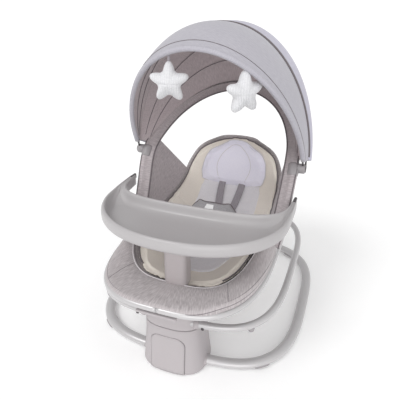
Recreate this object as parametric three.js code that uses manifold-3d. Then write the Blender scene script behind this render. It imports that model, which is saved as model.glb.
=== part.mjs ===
// Baby swing: a motor tower on a floor loop carries a tilting-axis hub, and the hub carries the seat,
// its recliner, a folding canopy with two hanging toys and a lift-off tray.
// Millimetres, +Z up, +X to the side, +Y towards the head end. The tower's axis is at X = 0, Y = 0
// while building, and the whole group is shifted at the end so that its box is centred on the origin.

import * as THREE from 'three';
import { mergeVertices } from 'three/addons/utils/BufferGeometryUtils.js';
import Module from 'manifold-3d';

const wasm = await Module();
wasm.setup();

// ---------------------------------------------------------------- driving dimensions

const GAP = 0.35; // clearance left between touching pieces
const LENGTH_SHIFT = -240; // brings the middle of the whole object's length to Y = 0

const FLOOR_LOOP = { halfWidth: 278, halfLength: 299, centreY: 285.5, power: 3.4, z: 14 };
const FLOOR_TUBE = { halfHeight: 11, halfWidth: 14, wall: 1.8 };
const CARRIER_LOOP = { halfWidth: 239, halfLength: 303, centreY: 258, power: 3.7, z: 153 };
const CARRIER_TUBE = { halfHeight: 9, halfWidth: 9, wall: 1.6 };
const SEAT_RING = { halfWidth: 200, halfLength: 308, centreY: 198, power: 3.2, z: 228 };
const RING_TUBE = { halfHeight: 8, halfWidth: 8, wall: 1.5 };
const FOOT = { length: 36, clearance: 2.1, halfHeight: 14 };
const REAR_FOOT_SHARE = 0.78; // where the rear feet sit along half a floor loop
const FRONT_FOOT_SHARE = 0.17;

const AXIS_TILT = THREE.MathUtils.degToRad(6); // the swing axis leans towards the seat
const SEAM_Z = 128; // height where the swing axis crosses the seam between tower and hub
const TOWER = { centreY: -4, power: 2.8, wall: 3, facets: 28 };
const TOWER_SECTIONS = [
  { z: 1, halfWidth: 84, halfDepth: 70 },
  { z: 42, halfWidth: 79, halfDepth: 67 },
  { z: 95, halfWidth: 74, halfDepth: 63.5 },
  { z: 150, halfWidth: 72, halfDepth: 62 },
  { z: 190, halfWidth: 71, halfDepth: 61.5 },
];
const HUB_TOP = 188;
const HUB_FLOOR = 7;
const COVER = { halfWidth: 44, top: 110, corner: 25, depth: 2.2 };
const SPINDLE_RADIUS = 8;
const BUSH_RADIUS = 12.2;
const BASE_PLATE = 3;
const HOUSING_RADIUS = 19;
const INLET = { x: 30, z: 22, bore: 3.6, radius: 7 };

const ARCH = { radius: 8, wall: 1.5, halfWidth: 211, reach: 298, angle: 149, coverRadius: 12.5 };
const CANOPY_PIVOT = { y: 293, z: 438 };
const BOW_RADIUS = 3;
const FRONT_BOW = { halfWidth: 235, reach: 350, angle: 61 };
const MIDDLE_BOW = { halfWidth: 241, reach: 341, angle: 95 };
const REAR_EDGE = { halfWidth: 229, reach: 304, angle: 144 };
const BOW_START = 7;
const REAR_BULGE = 0.075; // the rear panel stands out between its two bows
const PANEL_THICKNESS = 1.6;
const PANEL_STANDOFF = 5;

const RIM = { halfWidth: 172, halfLength: 327, centreY: 322, z: 224, power: 3.5, slope: 0.43 };
const RIM_THICKNESS = 5;
const POST = { halfWidth: 32, halfDepth: 24, centreY: 9, bottom: 216, corner: 12 };
const TONGUE = { halfWidth: 25, halfDepth: 17, bottom: 162 };
const TRAY = { top: 378, bottom: 346, floor: 352, halfWidth: 238, halfLength: 200, centreY: 130, power: 2.2 };
const TRAY_INNER_Y = 113;
const TRAY_ARM_END = 240;
const TRAY_RIM_WIDTH = 11;

// ---------------------------------------------------------------- materials

function finish(color, roughness, metalness = 0) {
  return new THREE.MeshStandardMaterial({ color, roughness, metalness });
}

const MATERIAL = {
  shell: () => finish(0xc4bcbe, 0.42),
  tray: () => finish(0xb9b6b7, 0.38),
  tube: () => finish(0xababab, 0.32, 0.7),
  rubber: () => finish(0x777476, 0.85),
  steel: () => finish(0xc9c9c9, 0.3, 0.9),
  linen: () => finish(0xb7b1b1, 0.95),
  gusset: () => finish(0x8c8688, 0.95),
  visor: () => finish(0xbebcc4, 0.9),
  pad: () => finish(0xdad4cc, 0.92),
  pillow: () => finish(0xd5d3e2, 0.9),
  webbing: () => finish(0x9b989b, 0.9),
  plush: () => finish(0xe0e0e0, 0.95),
  dark: () => finish(0x5a5558, 0.6),
  board: () => finish(0x3c6b4a, 0.6),
  copper: () => finish(0xb07048, 0.4, 0.8),
};

// ---------------------------------------------------------------- solids and booleans

function toSolid(geometry) {
  const bare = geometry.clone();
  bare.deleteAttribute('normal');
  bare.deleteAttribute('uv');
  const merged = mergeVertices(bare, 1e-3);
  return new wasm.Manifold(new wasm.Mesh({
    numProp: 3,
    vertProperties: new Float32Array(merged.attributes.position.array),
    triVerts: new Uint32Array(merged.index.array),
  }));
}

function toGeometry(solid) {
  const mesh = solid.getMesh();
  const geometry = new THREE.BufferGeometry();
  geometry.setAttribute('position', new THREE.BufferAttribute(mesh.vertProperties, 3));
  geometry.setIndex(new THREE.BufferAttribute(mesh.triVerts, 1));
  return geometry;
}

const cut = (geometry, ...tools) =>
  toGeometry(tools.reduce((solid, tool) => solid.subtract(toSolid(tool)), toSolid(geometry)));
const join = (geometry, ...others) =>
  toGeometry(others.reduce((solid, other) => solid.add(toSolid(other)), toSolid(geometry)));
const common = (a, b) => toGeometry(toSolid(a).intersect(toSolid(b)));

function moved(geometry, x, y, z) {
  return geometry.clone().translate(x, y, z);
}

const mirrored = (point) => new THREE.Vector3(-point.x, point.y, point.z);
const signedPower = (value, exponent) => Math.sign(value) * Math.abs(value) ** exponent;

// A closed skin over a grid of points, rows by columns. Each row is a closed loop of points.
// The first and last rows are capped.
function loft(rows) {
  const count = rows[0].length;
  const points = rows.flat();
  const index = [];
  for (let row = 0; row < rows.length - 1; row += 1) {
    const next = row + 1;
    for (let i = 0; i < count; i += 1) {
      const j = (i + 1) % count;
      const a = row * count + i;
      const b = row * count + j;
      const c = next * count + j;
      const d = next * count + i;
      index.push(a, b, c, a, c, d);
    }
  }
  for (const [row, flipped] of [[0, true], [rows.length - 1, false]]) {
    const flat = THREE.ShapeUtils.triangulateShape(flatten(rows[row]), []);
    for (const [a, b, c] of flat) {
      const face = [a, b, c].map((i) => row * count + i);
      index.push(...(flipped ? face.reverse() : face));
    }
  }
  return closedGeometry(points, index);
}

// The points of a loop laid flat on the plane that they roughly share.
function flatten(loop) {
  const normal = new THREE.Vector3();
  loop.forEach((p, i) => normal.add(new THREE.Vector3().crossVectors(p, loop[(i + 1) % loop.length])));
  normal.normalize();
  const side = loop[1].clone().sub(loop[0]).projectOnPlane(normal).normalize();
  const up = new THREE.Vector3().crossVectors(normal, side);
  return loop.map((p) => new THREE.Vector2(p.dot(side), p.dot(up)));
}

// Builds the geometry and turns its faces outwards if it came out inside out.
function closedGeometry(points, index) {
  const geometry = new THREE.BufferGeometry().setFromPoints(points);
  let volume = 0;
  for (let i = 0; i < index.length; i += 3) {
    const [a, b, c] = [points[index[i]], points[index[i + 1]], points[index[i + 2]]];
    volume += a.dot(new THREE.Vector3().crossVectors(b, c));
  }
  geometry.setIndex(volume < 0 ? index.slice().reverse() : index);
  return geometry;
}

// A curved slab: surface(u, v) with u and v from 0 to 1, thickened along its normal.
function slab(surface, columns, rows, thickness, inset = () => 1) {
  const at = (u, v) => surface(THREE.MathUtils.clamp(u, 0, 1), THREE.MathUtils.clamp(v, 0, 1));
  const step = 1e-3;
  const front = [];
  const back = [];
  for (let j = 0; j <= rows; j += 1) {
    for (let i = 0; i <= columns; i += 1) {
      const [u, v] = [i / columns, j / rows];
      const point = at(u, v);
      const alongU = at(u + step, v).sub(at(u - step, v));
      const alongV = at(u, v + step).sub(at(u, v - step));
      const normal = new THREE.Vector3().crossVectors(alongU, alongV).normalize();
      front.push(point);
      back.push(point.clone().addScaledVector(normal, thickness * inset(u, v)));
    }
  }
  const width = columns + 1;
  const offset = front.length;
  const index = [];
  for (let j = 0; j < rows; j += 1) {
    for (let i = 0; i < columns; i += 1) {
      const a = j * width + i;
      const quad = [a, a + 1, a + 1 + width, a, a + 1 + width, a + width];
      index.push(...quad.slice().reverse(), ...quad.map((k) => k + offset));
    }
  }
  const edge = (a, b) => index.push(a, b, b + offset, a, b + offset, a + offset);
  for (let i = 0; i < columns; i += 1) {
    edge(i, i + 1);
    edge(rows * width + i + 1, rows * width + i);
  }
  for (let j = 0; j < rows; j += 1) {
    edge((j + 1) * width, j * width);
    edge(j * width + columns, (j + 1) * width + columns);
  }
  return closedGeometry([...front, ...back], index);
}

// ---------------------------------------------------------------- curves and tubes

// One half of a rounded-rectangle loop, from the front round one side to the back.
class HalfLoop extends THREE.Curve {
  constructor(loop, side, startAngle) {
    super();
    Object.assign(this, { loop, side, startAngle });
  }

  getPoint(t, target = new THREE.Vector3()) {
    const { halfWidth, halfLength, centreY, power, z } = this.loop;
    const angle = this.startAngle + (Math.PI - this.startAngle) * t;
    return target.set(
      this.side * halfWidth * signedPower(Math.sin(angle), 2 / power),
      centreY - halfLength * signedPower(Math.cos(angle), 2 / power),
      z,
    );
  }
}

// The loop's angle where it is a given distance from the centre line.
const angleAt = (loop, x) => Math.asin((x / loop.halfWidth) ** (loop.power / 2));

// A stretch of another curve, from share a to share b of its length.
class Stretch extends THREE.Curve {
  constructor(curve, a, b) {
    super();
    Object.assign(this, { curve, a, b });
  }

  getPoint(t, target = new THREE.Vector3()) {
    return target.copy(this.curve.getPointAt(THREE.MathUtils.lerp(this.a, this.b, t)));
  }
}

function ovalPoints(halfHeight, halfWidth, sides) {
  return Array.from({ length: sides }, (_, i) => {
    const angle = (2 * Math.PI * (i + 0.5)) / sides;
    return new THREE.Vector2(halfHeight * Math.cos(angle), halfWidth * Math.sin(angle));
  });
}

// A hollow tube along a curve; with no wall it is solid.
function tube(curve, { halfHeight, halfWidth, wall = 0 }, steps, sides = 8) {
  const section = new THREE.Shape(ovalPoints(halfHeight, halfWidth, sides));
  if (wall) {
    section.holes.push(new THREE.Path(ovalPoints(halfHeight - wall, halfWidth - wall, sides - 2).reverse()));
  }
  return new THREE.ExtrudeGeometry(section, { extrudePath: curve, steps, bevelEnabled: false });
}

const round = (radius, wall = 0) => ({ halfHeight: radius, halfWidth: radius, wall });
const grown = (section, by) => ({ halfHeight: section.halfHeight + by, halfWidth: section.halfWidth + by });
const straight = (a, b) => new THREE.LineCurve3(a, b);
const vec = (x, y, z) => new THREE.Vector3(x, y, z);

// A turned body about Z from a profile of [radius, z] pairs that closes on itself or on the axis.
function turned(profile, sides = 24) {
  return new THREE.LatheGeometry(profile.map(([r, z]) => new THREE.Vector2(r, z)), sides).rotateX(Math.PI / 2)
    .applyMatrix4(new THREE.Matrix4().makeScale(1, -1, 1));
}

const ringProfile = (inner, outer, low, high) =>
  [[inner, low], [outer, low], [outer, high], [inner, high], [inner, low]];
const discProfile = (radius, low, high) => [[0, low], [radius, low], [radius, high], [0, high]];

function turnedSolid(profile, sides = 24) {
  const geometry = turned(profile, sides);
  geometry.deleteAttribute('normal');
  geometry.deleteAttribute('uv');
  const merged = mergeVertices(geometry, 1e-3);
  const position = merged.attributes.position;
  const points = Array.from({ length: position.count }, (_, i) => vec().fromBufferAttribute(position, i));
  const index = Array.from(merged.index.array);
  const faces = [];
  for (let i = 0; i < index.length; i += 3) {
    const [a, b, c] = index.slice(i, i + 3);
    if (a !== b && b !== c && c !== a) faces.push(a, b, c);
  }
  return closedGeometry(points, faces);
}

function roundedRectangle(halfWidth, halfDepth, corner) {
  const shape = new THREE.Shape();
  shape.moveTo(-halfWidth + corner, -halfDepth);
  shape.lineTo(halfWidth - corner, -halfDepth);
  shape.absarc(halfWidth - corner, -halfDepth + corner, corner, -Math.PI / 2, 0);
  shape.absarc(halfWidth - corner, halfDepth - corner, corner, 0, Math.PI / 2);
  shape.absarc(-halfWidth + corner, halfDepth - corner, corner, Math.PI / 2, Math.PI);
  shape.absarc(-halfWidth + corner, -halfDepth + corner, corner, Math.PI, 1.5 * Math.PI);
  return shape;
}

function prism(shape, low, high, curveSegments = 5) {
  return new THREE.ExtrudeGeometry(shape, { depth: high - low, bevelEnabled: false, curveSegments })
    .translate(0, 0, low);
}

// ---------------------------------------------------------------- scene graph

const swingModel = new THREE.Group();
const drive = new THREE.Group(); // everything turned about the tilted swing axis, origin at the seam
drive.position.set(0, 0, SEAM_Z);
drive.rotation.x = -AXIS_TILT;
drive.updateMatrix();
swingModel.add(drive);

function add(name, geometry, material, parent = swingModel) {
  const mesh = new THREE.Mesh(geometry, material());
  mesh.name = name;
  parent.add(mesh);
  return mesh;
}

const SIDES = [['left', -1], ['right', 1]];

// ---------------------------------------------------------------- motor tower and hub

function towerSolid(inset, zLow, zHigh) {
  const rows = [];
  const levels = [zLow, ...TOWER_SECTIONS.map((s) => s.z).filter((z) => z > zLow && z < zHigh), zHigh];
  for (const z of levels) {
    const lastSection = TOWER_SECTIONS.length - 1;
    const upper = Math.max(1, TOWER_SECTIONS.findIndex((s, i) => s.z >= z || i === lastSection));
    const [a, b] = [TOWER_SECTIONS[upper - 1], TOWER_SECTIONS[upper]];
    const share = (z - a.z) / (b.z - a.z);
    const halfWidth = THREE.MathUtils.lerp(a.halfWidth, b.halfWidth, share) - inset;
    const halfDepth = THREE.MathUtils.lerp(a.halfDepth, b.halfDepth, share) - inset;
    rows.push(Array.from({ length: TOWER.facets }, (_, i) => {
      const angle = (2 * Math.PI * i) / TOWER.facets;
      return vec(
        halfWidth * signedPower(Math.cos(angle), 2 / TOWER.power),
        TOWER.centreY + halfDepth * signedPower(Math.sin(angle), 2 / TOWER.power),
        z,
      );
    }));
  }
  return loft(rows);
}

// A block on the swing axis between two heights above the seam, square to the axis.
function driveSlice(low, high) {
  return new THREE.BoxGeometry(300, 300, high - low)
    .translate(0, 0, (low + high) / 2).applyMatrix4(drive.matrix);
}

const inDrive = (geometry) => geometry.applyMatrix4(drive.matrix);

function coverOutline(grow) {
  const { halfWidth, top, corner } = COVER;
  const shape = new THREE.Shape();
  shape.moveTo(-halfWidth - grow, -10);
  shape.lineTo(halfWidth + grow, -10);
  shape.lineTo(halfWidth + grow, top - corner);
  shape.absarc(halfWidth - corner, top - corner, corner + grow, 0, Math.PI / 2);
  shape.absarc(-halfWidth + corner, top - corner, corner + grow, Math.PI / 2, Math.PI);
  return prism(shape, 20, 110).rotateX(Math.PI / 2);
}

function buildTower(floorTubeHoles) {
  const roofUnder = -TOWER.wall - 1;
  const cavity = common(towerSolid(TOWER.wall, -5, 150), driveSlice(-200, roofUnder));
  const outer = common(towerSolid(0, 1, 150), driveSlice(-200, -0.6));
  const coverBack = towerSolid(COVER.depth, -5, 150);
  const recess = cut(coverOutline(0.5), coverBack);
  const spindleHole = inDrive(turnedSolid(discProfile(SPINDLE_RADIUS + 3, -30, 10)));
  const inletHole = new THREE.CylinderGeometry(INLET.radius + 0.5, INLET.radius + 0.5, 30, 16)
    .translate(INLET.x, 66, INLET.z);
  add('tower_shell', cut(outer, cavity, recess, spindleHole, inletHole, ...floorTubeHoles), MATERIAL.shell);
  const cover = cut(common(coverOutline(0), towerSolid(0, 1.2, 150)), towerSolid(COVER.depth - 0.3, -5, 150));
  add('front_cover', cover, MATERIAL.shell);

  const plateHoles = screwPlaces.map(([x, y]) => moved(turnedSolid(discProfile(2.6, -5, 10), 12), x, y, 0));
  const plateBlock = new THREE.BoxGeometry(300, 300, BASE_PLATE).translate(0, 0, BASE_PLATE / 2);
  const plate = common(towerSolid(TOWER.wall + GAP, -4, 4), plateBlock);
  add('base_plate', cut(plate, ...plateHoles), MATERIAL.shell);
  screwPlaces.forEach(([x, y], i) => {
    const screw = turnedSolid([[0, 0.8], [2, 0.8], [2, 3.4], [4.2, 3.4], [4.2, 6], [0, 6]], 12);
    add(`base_screw_${i + 1}`, moved(screw, x, y, 0), MATERIAL.steel);
  });
}

const screwPlaces = [[-56, -34], [56, -34], [-56, 30], [56, 30]];

function buildHub(carrierHoles) {
  const outer = common(towerSolid(0, 100, HUB_TOP), driveSlice(0.6, 200));
  const cavity = common(towerSolid(TOWER.wall, 90, HUB_TOP - 6), driveSlice(HUB_FLOOR, 200));
  const spindleHole = inDrive(turnedSolid(discProfile(SPINDLE_RADIUS + GAP, -30, 30)));
  const socketHole = prism(roundedRectangle(TONGUE.halfWidth + 0.5, TONGUE.halfDepth + 0.5, 5), 150, 230)
    .translate(0, POST.centreY, 0);
  add('hub_shell', cut(outer, cavity, spindleHole, socketHole, ...carrierHoles), MATERIAL.shell);
}

function buildDrive() {
  const bottom = -112;
  const housing = [[BUSH_RADIUS + GAP, bottom + 4], [HOUSING_RADIUS, bottom + 4], [HOUSING_RADIUS, -24],
    [BUSH_RADIUS + GAP, -24], [BUSH_RADIUS + GAP, bottom + 4]];
  add('bearing_housing', turnedSolid(housing), MATERIAL.dark, drive);
  for (const [name, low] of [['lower_bush', bottom + 5], ['upper_bush', -39]]) {
    const bush = turnedSolid(ringProfile(SPINDLE_RADIUS + 0.35, BUSH_RADIUS, low, low + 14));
    add(name, bush, MATERIAL.copper, drive);
  }
  add('spindle', turnedSolid(discProfile(SPINDLE_RADIUS, bottom + 2, HUB_FLOOR + 5)), MATERIAL.steel, drive);
  const armHole = turnedSolid(discProfile(SPINDLE_RADIUS + GAP, -40, 10));
  const arm = prism(roundedRectangle(11.5, 29, 8), -20, -14).translate(0, 17, 0);
  add('drive_arm', cut(arm, armHole), MATERIAL.steel, drive);
  const magnet = turnedSolid(discProfile(6.5, -29, -20.4), 16).translate(0, 35, 0);
  add('drive_magnet', magnet, MATERIAL.dark, drive);
  const coil = turnedSolid(ringProfile(6, 15, -52, -31), 20).translate(0, 36, 0);
  add('drive_coil', coil, MATERIAL.copper, drive);
}

function buildElectronics() {
  add('control_board', new THREE.BoxGeometry(70, 1.6, 62).translate(0, -50, 56), MATERIAL.board);
  const speaker = turnedSolid([[0, 0], [16, 0], [16, 4], [8, 9], [8, 14], [0, 14]], 20).rotateX(Math.PI / 2);
  add('speaker', speaker.translate(-30, 50, 48), MATERIAL.dark);
  const barrel = turnedSolid(ringProfile(INLET.bore, INLET.radius, -8, 8), 16);
  const flange = turnedSolid(ringProfile(INLET.bore, INLET.radius + 2.5, -10, -8), 16);
  const inlet = join(barrel, flange).rotateX(-Math.PI / 2).translate(INLET.x, 54.4, INLET.z);
  add('dc_inlet', inlet, MATERIAL.dark);
}

// ---------------------------------------------------------------- floor loop, carrier and ring

function halfLoops(loop, startX, gap) {
  return SIDES.map(([side, sign]) => {
    const whole = new HalfLoop(loop, sign, angleAt(loop, startX));
    return [side, sign, new Stretch(whole, 0, 1 - gap / whole.getLength())];
  });
}

function buildFloorLoop() {
  const holes = [];
  for (const [side, , curve] of halfLoops(FLOOR_LOOP, 62, 0.6)) {
    add(`floor_tube_${side}`, tube(curve, FLOOR_TUBE, 18), MATERIAL.tube);
    holes.push(tube(new Stretch(curve, 0, 0.08), grown(FLOOR_TUBE, 0.8), 2));
    for (const [place, share] of [['front', FRONT_FOOT_SHARE], ['rear', REAR_FOOT_SHARE]]) {
      const point = curve.getPointAt(share);
      const tangent = curve.getTangentAt(share);
      const reach = tangent.clone().multiplyScalar(FOOT.length / 2);
      const line = straight(point.clone().sub(reach), point.clone().add(reach));
      const sleeve = {
        halfHeight: FOOT.halfHeight / Math.cos(Math.PI / 12),
        halfWidth: FLOOR_TUBE.halfWidth + 3.2,
      };
      const bore = tube(new Stretch(curve, share - 0.05, share + 0.05), grown(FLOOR_TUBE, FOOT.clearance), 5);
      add(`${place}_foot_${side}`, cut(tube(line, sleeve, 1, 12), bore), MATERIAL.rubber);
    }
  }
  const joint = vec(0, FLOOR_LOOP.centreY + FLOOR_LOOP.halfLength, FLOOR_LOOP.z);
  const inner = grown(FLOOR_TUBE, -FLOOR_TUBE.wall - 1);
  const joinerLine = straight(joint.clone().setX(-22), joint.clone().setX(22));
  add('floor_joiner', tube(joinerLine, inner, 1, 6), MATERIAL.steel);
  return holes;
}

function buildCarrier() {
  const holes = [];
  for (const [side, , curve] of halfLoops(CARRIER_LOOP, 46, 0.6)) {
    add(`carrier_tube_${side}`, tube(curve, CARRIER_TUBE, 18), MATERIAL.tube);
    holes.push(tube(new Stretch(curve, 0, 0.06), grown(CARRIER_TUBE, 0.6), 2));
    const point = curve.getPointAt(0.17);
    const nubEnd = -CARRIER_TUBE.halfHeight - 8;
    const nub = turnedSolid([[0, nubEnd], [7, nubEnd], [9, 0], [0, 0]], 12);
    const bore = tube(new Stretch(curve, 0.13, 0.21), grown(CARRIER_TUBE, 1.6), 4);
    add(`carrier_bumper_${side}`, cut(nub.translate(...point.toArray()), bore), MATERIAL.rubber);
  }
  const joint = vec(0, CARRIER_LOOP.centreY + CARRIER_LOOP.halfLength, CARRIER_LOOP.z);
  const inner = grown(CARRIER_TUBE, -CARRIER_TUBE.wall - 0.8);
  const joinerLine = straight(joint.clone().setX(-20), joint.clone().setX(20));
  add('carrier_joiner', tube(joinerLine, inner, 1, 6), MATERIAL.steel);
  return holes;
}

function loopPoint(loop, x, isBack) {
  const share = (1 - (Math.abs(x) / loop.halfWidth) ** loop.power) ** (1 / loop.power);
  return vec(x, loop.centreY + (isBack ? 1 : -1) * loop.halfLength * share, loop.z);
}

function buildRing() {
  const solids = [];
  for (const [side, , curve] of halfLoops(SEAT_RING, 0.4, 0.6)) {
    add(`seat_ring_${side}`, tube(curve, RING_TUBE, 18), MATERIAL.tube);
    solids.push(curve);
  }
  const inner = grown(RING_TUBE, -RING_TUBE.wall - 0.8);
  const rearY = loopPoint(SEAT_RING, 0, true).y;
  const spigot = straight(vec(-20, rearY, SEAT_RING.z), vec(20, rearY, SEAT_RING.z));
  add('ring_joiner', tube(spigot, inner, 1, 6), MATERIAL.steel);
  for (const [side, sign] of SIDES) {
    const low = loopPoint(CARRIER_LOOP, 100 * sign, true);
    const high = loopPoint(SEAT_RING, 100 * sign, true);
    const strut = tube(straight(low, high), round(6.5), 1);
    const clears = [
      tube(new Stretch(new HalfLoop(CARRIER_LOOP, sign, 0), 0.8, 1), grown(CARRIER_TUBE, 0.9), 8),
      tube(new Stretch(new HalfLoop(SEAT_RING, sign, 0), 0.8, 1), grown(RING_TUBE, 0.9), 8),
    ];
    add(`rear_strut_${side}`, largestPiece(cut(strut, ...clears)), MATERIAL.tube);
  }
  const slabBox = (low, high) => new THREE.BoxGeometry(96, high[0] - low[0], high[1] - low[1])
    .translate(0, (low[0] + high[0]) / 2, (low[1] + high[1]) / 2);
  const foot = slabBox([-60, HUB_TOP + GAP], [-26, HUB_TOP + 5]);
  const riser = slabBox([-64, HUB_TOP + GAP], [-59, 219]);
  const shelf = slabBox([-118, 214], [-59, 219]);
  const underRing = solids.map((curve) => tube(new Stretch(curve, 0, 0.2), grown(RING_TUBE, 0.9), 6));
  add('ring_saddle', cut(join(foot, riser, shelf), ...underRing), MATERIAL.steel);
}

// The biggest of the separate solids that a cut leaves.
function largestPiece(geometry) {
  const parts = toSolid(geometry).decompose();
  return toGeometry(parts.reduce((best, part) => (part.volume() > best.volume() ? part : best)));
}

// ---------------------------------------------------------------- canopy arch and bows

// A point on a bow: t from 0 to PI across, at an angle from straight ahead about the pivot axis.
function bowPoint({ halfWidth, reach, angle }, t, start = 0) {
  const turn = THREE.MathUtils.degToRad(angle);
  const distance = start + (reach - start) * Math.sin(t);
  return vec(
    -halfWidth * Math.cos(t),
    CANOPY_PIVOT.y - distance * Math.cos(turn),
    CANOPY_PIVOT.z + distance * Math.sin(turn),
  );
}

function archCurve() {
  const lower = [vec(-196, 176, 241), vec(-203, 205, 290), vec(-208, 240, 350)];
  const upper = [1, 2, 3, 4, 5, 6, 7, 8, 9].map((i) => bowPoint(ARCH, (Math.PI * i) / 10, 0));
  const feet = lower.map(mirrored).reverse();
  return new THREE.CatmullRomCurve3([...lower, vec(-ARCH.halfWidth, 293, 438), ...upper,
    vec(ARCH.halfWidth, 293, 438), ...feet], false, 'centripetal');
}

function buildArch() {
  const curve = archCurve();
  add('arch_tube', tube(curve, round(ARCH.radius, ARCH.wall), 32), MATERIAL.tube);
  const cover = { halfHeight: ARCH.coverRadius, halfWidth: ARCH.coverRadius, wall: 2.2 };
  add('arch_cover', tube(new Stretch(curve, 0.022, 0.978), cover, 30), MATERIAL.linen);
}

function eye(x, thickness, hole) {
  return turnedSolid(ringProfile(hole, 9, -thickness / 2, thickness / 2), 16)
    .rotateY(Math.PI / 2).translate(x, CANOPY_PIVOT.y, CANOPY_PIVOT.z);
}

class BowCurve extends THREE.Curve {
  constructor(bow, start) {
    super();
    Object.assign(this, { bow, start });
  }

  getPoint(t, target = new THREE.Vector3()) {
    return target.copy(bowPoint(this.bow, Math.PI * t, this.start));
  }
}

function buildCanopyFrame() {
  for (const [name, bow] of [['canopy_bow_front', FRONT_BOW], ['canopy_bow_middle', MIDDLE_BOW]]) {
    const rod = tube(new BowCurve(bow, BOW_START), round(BOW_RADIUS - 0.6), 20);
    add(name, join(rod, eye(bow.halfWidth, 4, 3.6), eye(-bow.halfWidth, 4, 3.6)), MATERIAL.dark);
  }
  for (const [side, sign] of SIDES) {
    const pin = turnedSolid(discProfile(3, 0, 18), 14).rotateY(sign * Math.PI / 2)
      .translate(sign * 227, CANOPY_PIVOT.y, CANOPY_PIVOT.z);
    const block = new THREE.BoxGeometry(30, 26, 30).translate(sign * 214, CANOPY_PIVOT.y, CANOPY_PIVOT.z);
    const channel = tube(new Stretch(archCurve(), 0.022, 0.978), round(ARCH.coverRadius + 1.8), 30);
    const clip = largestPiece(cut(block, channel, new THREE.BoxGeometry(30, 60, 60)
      .translate(sign * 197, CANOPY_PIVOT.y, CANOPY_PIVOT.z)));
    add(`canopy_clip_${side}`, join(clip, pin), MATERIAL.dark);
  }
}

// The cloth between two bows: u runs across, v from the first bow to the second.
function panelSurface(from, to, standoff, bulge = 0.008) {
  return (u, v) => {
    const swell = 1 + bulge * Math.sin(Math.PI * v) * Math.sin(Math.PI * u) ** 0.5;
    const mixed = {
      halfWidth: THREE.MathUtils.lerp(from.halfWidth, to.halfWidth, v) + standoff,
      reach: (THREE.MathUtils.lerp(from.reach, to.reach, v) + standoff) * swell,
      angle: THREE.MathUtils.lerp(from.angle, to.angle, v),
    };
    return bowPoint(mixed, THREE.MathUtils.lerp(0.045, 0.955, u) * Math.PI);
  };
}

function buildCanopyCloth() {
  const frontEdge = { ...FRONT_BOW, angle: FRONT_BOW.angle - 0.6 };
  const middleFront = { ...MIDDLE_BOW, angle: MIDDLE_BOW.angle - 0.5 };
  const middleRear = { ...MIDDLE_BOW, angle: MIDDLE_BOW.angle + 0.5 };
  add('canopy_visor', slab(panelSurface(frontEdge, middleFront, PANEL_STANDOFF), 20, 3, PANEL_THICKNESS),
    MATERIAL.visor);
  const rearSurface = panelSurface(middleRear, REAR_EDGE, PANEL_STANDOFF, REAR_BULGE);
  add('canopy_rear_panel', slab(rearSurface, 20, 6, PANEL_THICKNESS), MATERIAL.visor);
}

function starShape(outer, inner) {
  const shape = new THREE.Shape();
  for (let i = 0; i < 10; i += 1) {
    const angle = Math.PI / 2 + (Math.PI * i) / 5;
    const radius = i % 2 ? inner : outer;
    const place = [radius * Math.cos(angle), radius * Math.sin(angle)];
    if (i) shape.lineTo(...place);
    else shape.moveTo(...place);
  }
  return shape;
}

// Each toy hangs by a ribbon from the front bow. turn is its angle about the ribbon.
const STARS = [
  { side: 'left', x: -62, turn: 0.25, drop: 67, reach: 46 },
  { side: 'right', x: 109, turn: 0.9, drop: 57, reach: 46 },
];

function starAnchor(x) {
  const t = Math.acos(-x / FRONT_BOW.halfWidth);
  return bowPoint(FRONT_BOW, t, BOW_START);
}

function buildStars() {
  for (const { side, x, turn, drop, reach } of STARS) {
    const anchor = starAnchor(x);
    const body = new THREE.ExtrudeGeometry(starShape(reach, 0.55 * reach), {
      depth: 10, bevelEnabled: true, bevelThickness: 7, bevelSize: -1, bevelOffset: 0, bevelSegments: 1,
    });
    body.translate(0, -drop, -5).rotateX(Math.PI / 2);
    body.rotateZ(turn);
    const ribbonLength = drop - reach + 12;
    const ribbon = new THREE.BoxGeometry(6, 2.4, ribbonLength).translate(0, 0, -7 - ribbonLength / 2);
    const star = join(body, ribbon).translate(anchor.x, anchor.y, anchor.z);
    add(`star_${side}`, star, MATERIAL.plush);
  }
}

// ---------------------------------------------------------------- seat

// Inner edge of the padded rim: share 0 is the left side, 1 the right side, round the front.
function rimPoint(share, loop = RIM) {
  const angle = THREE.MathUtils.lerp(-1, 1, share) * 1.22;
  const x = loop.halfWidth * signedPower(Math.sin(angle), 2 / loop.power);
  const y = loop.centreY - loop.halfLength * signedPower(Math.cos(angle), 2 / loop.power);
  return vec(x, y, loop.z + RIM.slope * (y - (RIM.centreY - RIM.halfLength)));
}

function ringTop(share) {
  const angle = THREE.MathUtils.lerp(-1, 1, share) * 1.34;
  const { halfWidth, halfLength, centreY, power, z } = SEAT_RING;
  return vec(
    halfWidth * signedPower(Math.sin(angle), 2 / power),
    centreY - halfLength * signedPower(Math.cos(angle), 2 / power),
    z + RING_TUBE.halfHeight + RIM_THICKNESS + 1.2,
  );
}

function rimSurface(u, v) {
  const outer = ringTop(u);
  const inner = rimPoint(u);
  const point = outer.lerp(inner, v);
  point.z += 9 * Math.sin(Math.PI * v);
  return point;
}

const postClearance = (grow) =>
  prism(roundedRectangle(POST.halfWidth + grow, POST.halfDepth + grow, POST.corner), 150, 420)
    .translate(0, POST.centreY, 0);

// Depth of the seat bucket along its length: its middle line and the height of its edges.
const seatMiddle = new THREE.CatmullRomCurve3([
  vec(0, 9, 208), vec(0, 50, 193), vec(0, 120, 178), vec(0, 210, 170), vec(0, 300, 171), vec(0, 330, 175),
]);
const backMiddle = new THREE.CatmullRomCurve3([
  vec(0, 342, 179), vec(0, 400, 206), vec(0, 460, 256), vec(0, 505, 320), vec(0, 532, 392), vec(0, 540, 418),
]);

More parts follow.
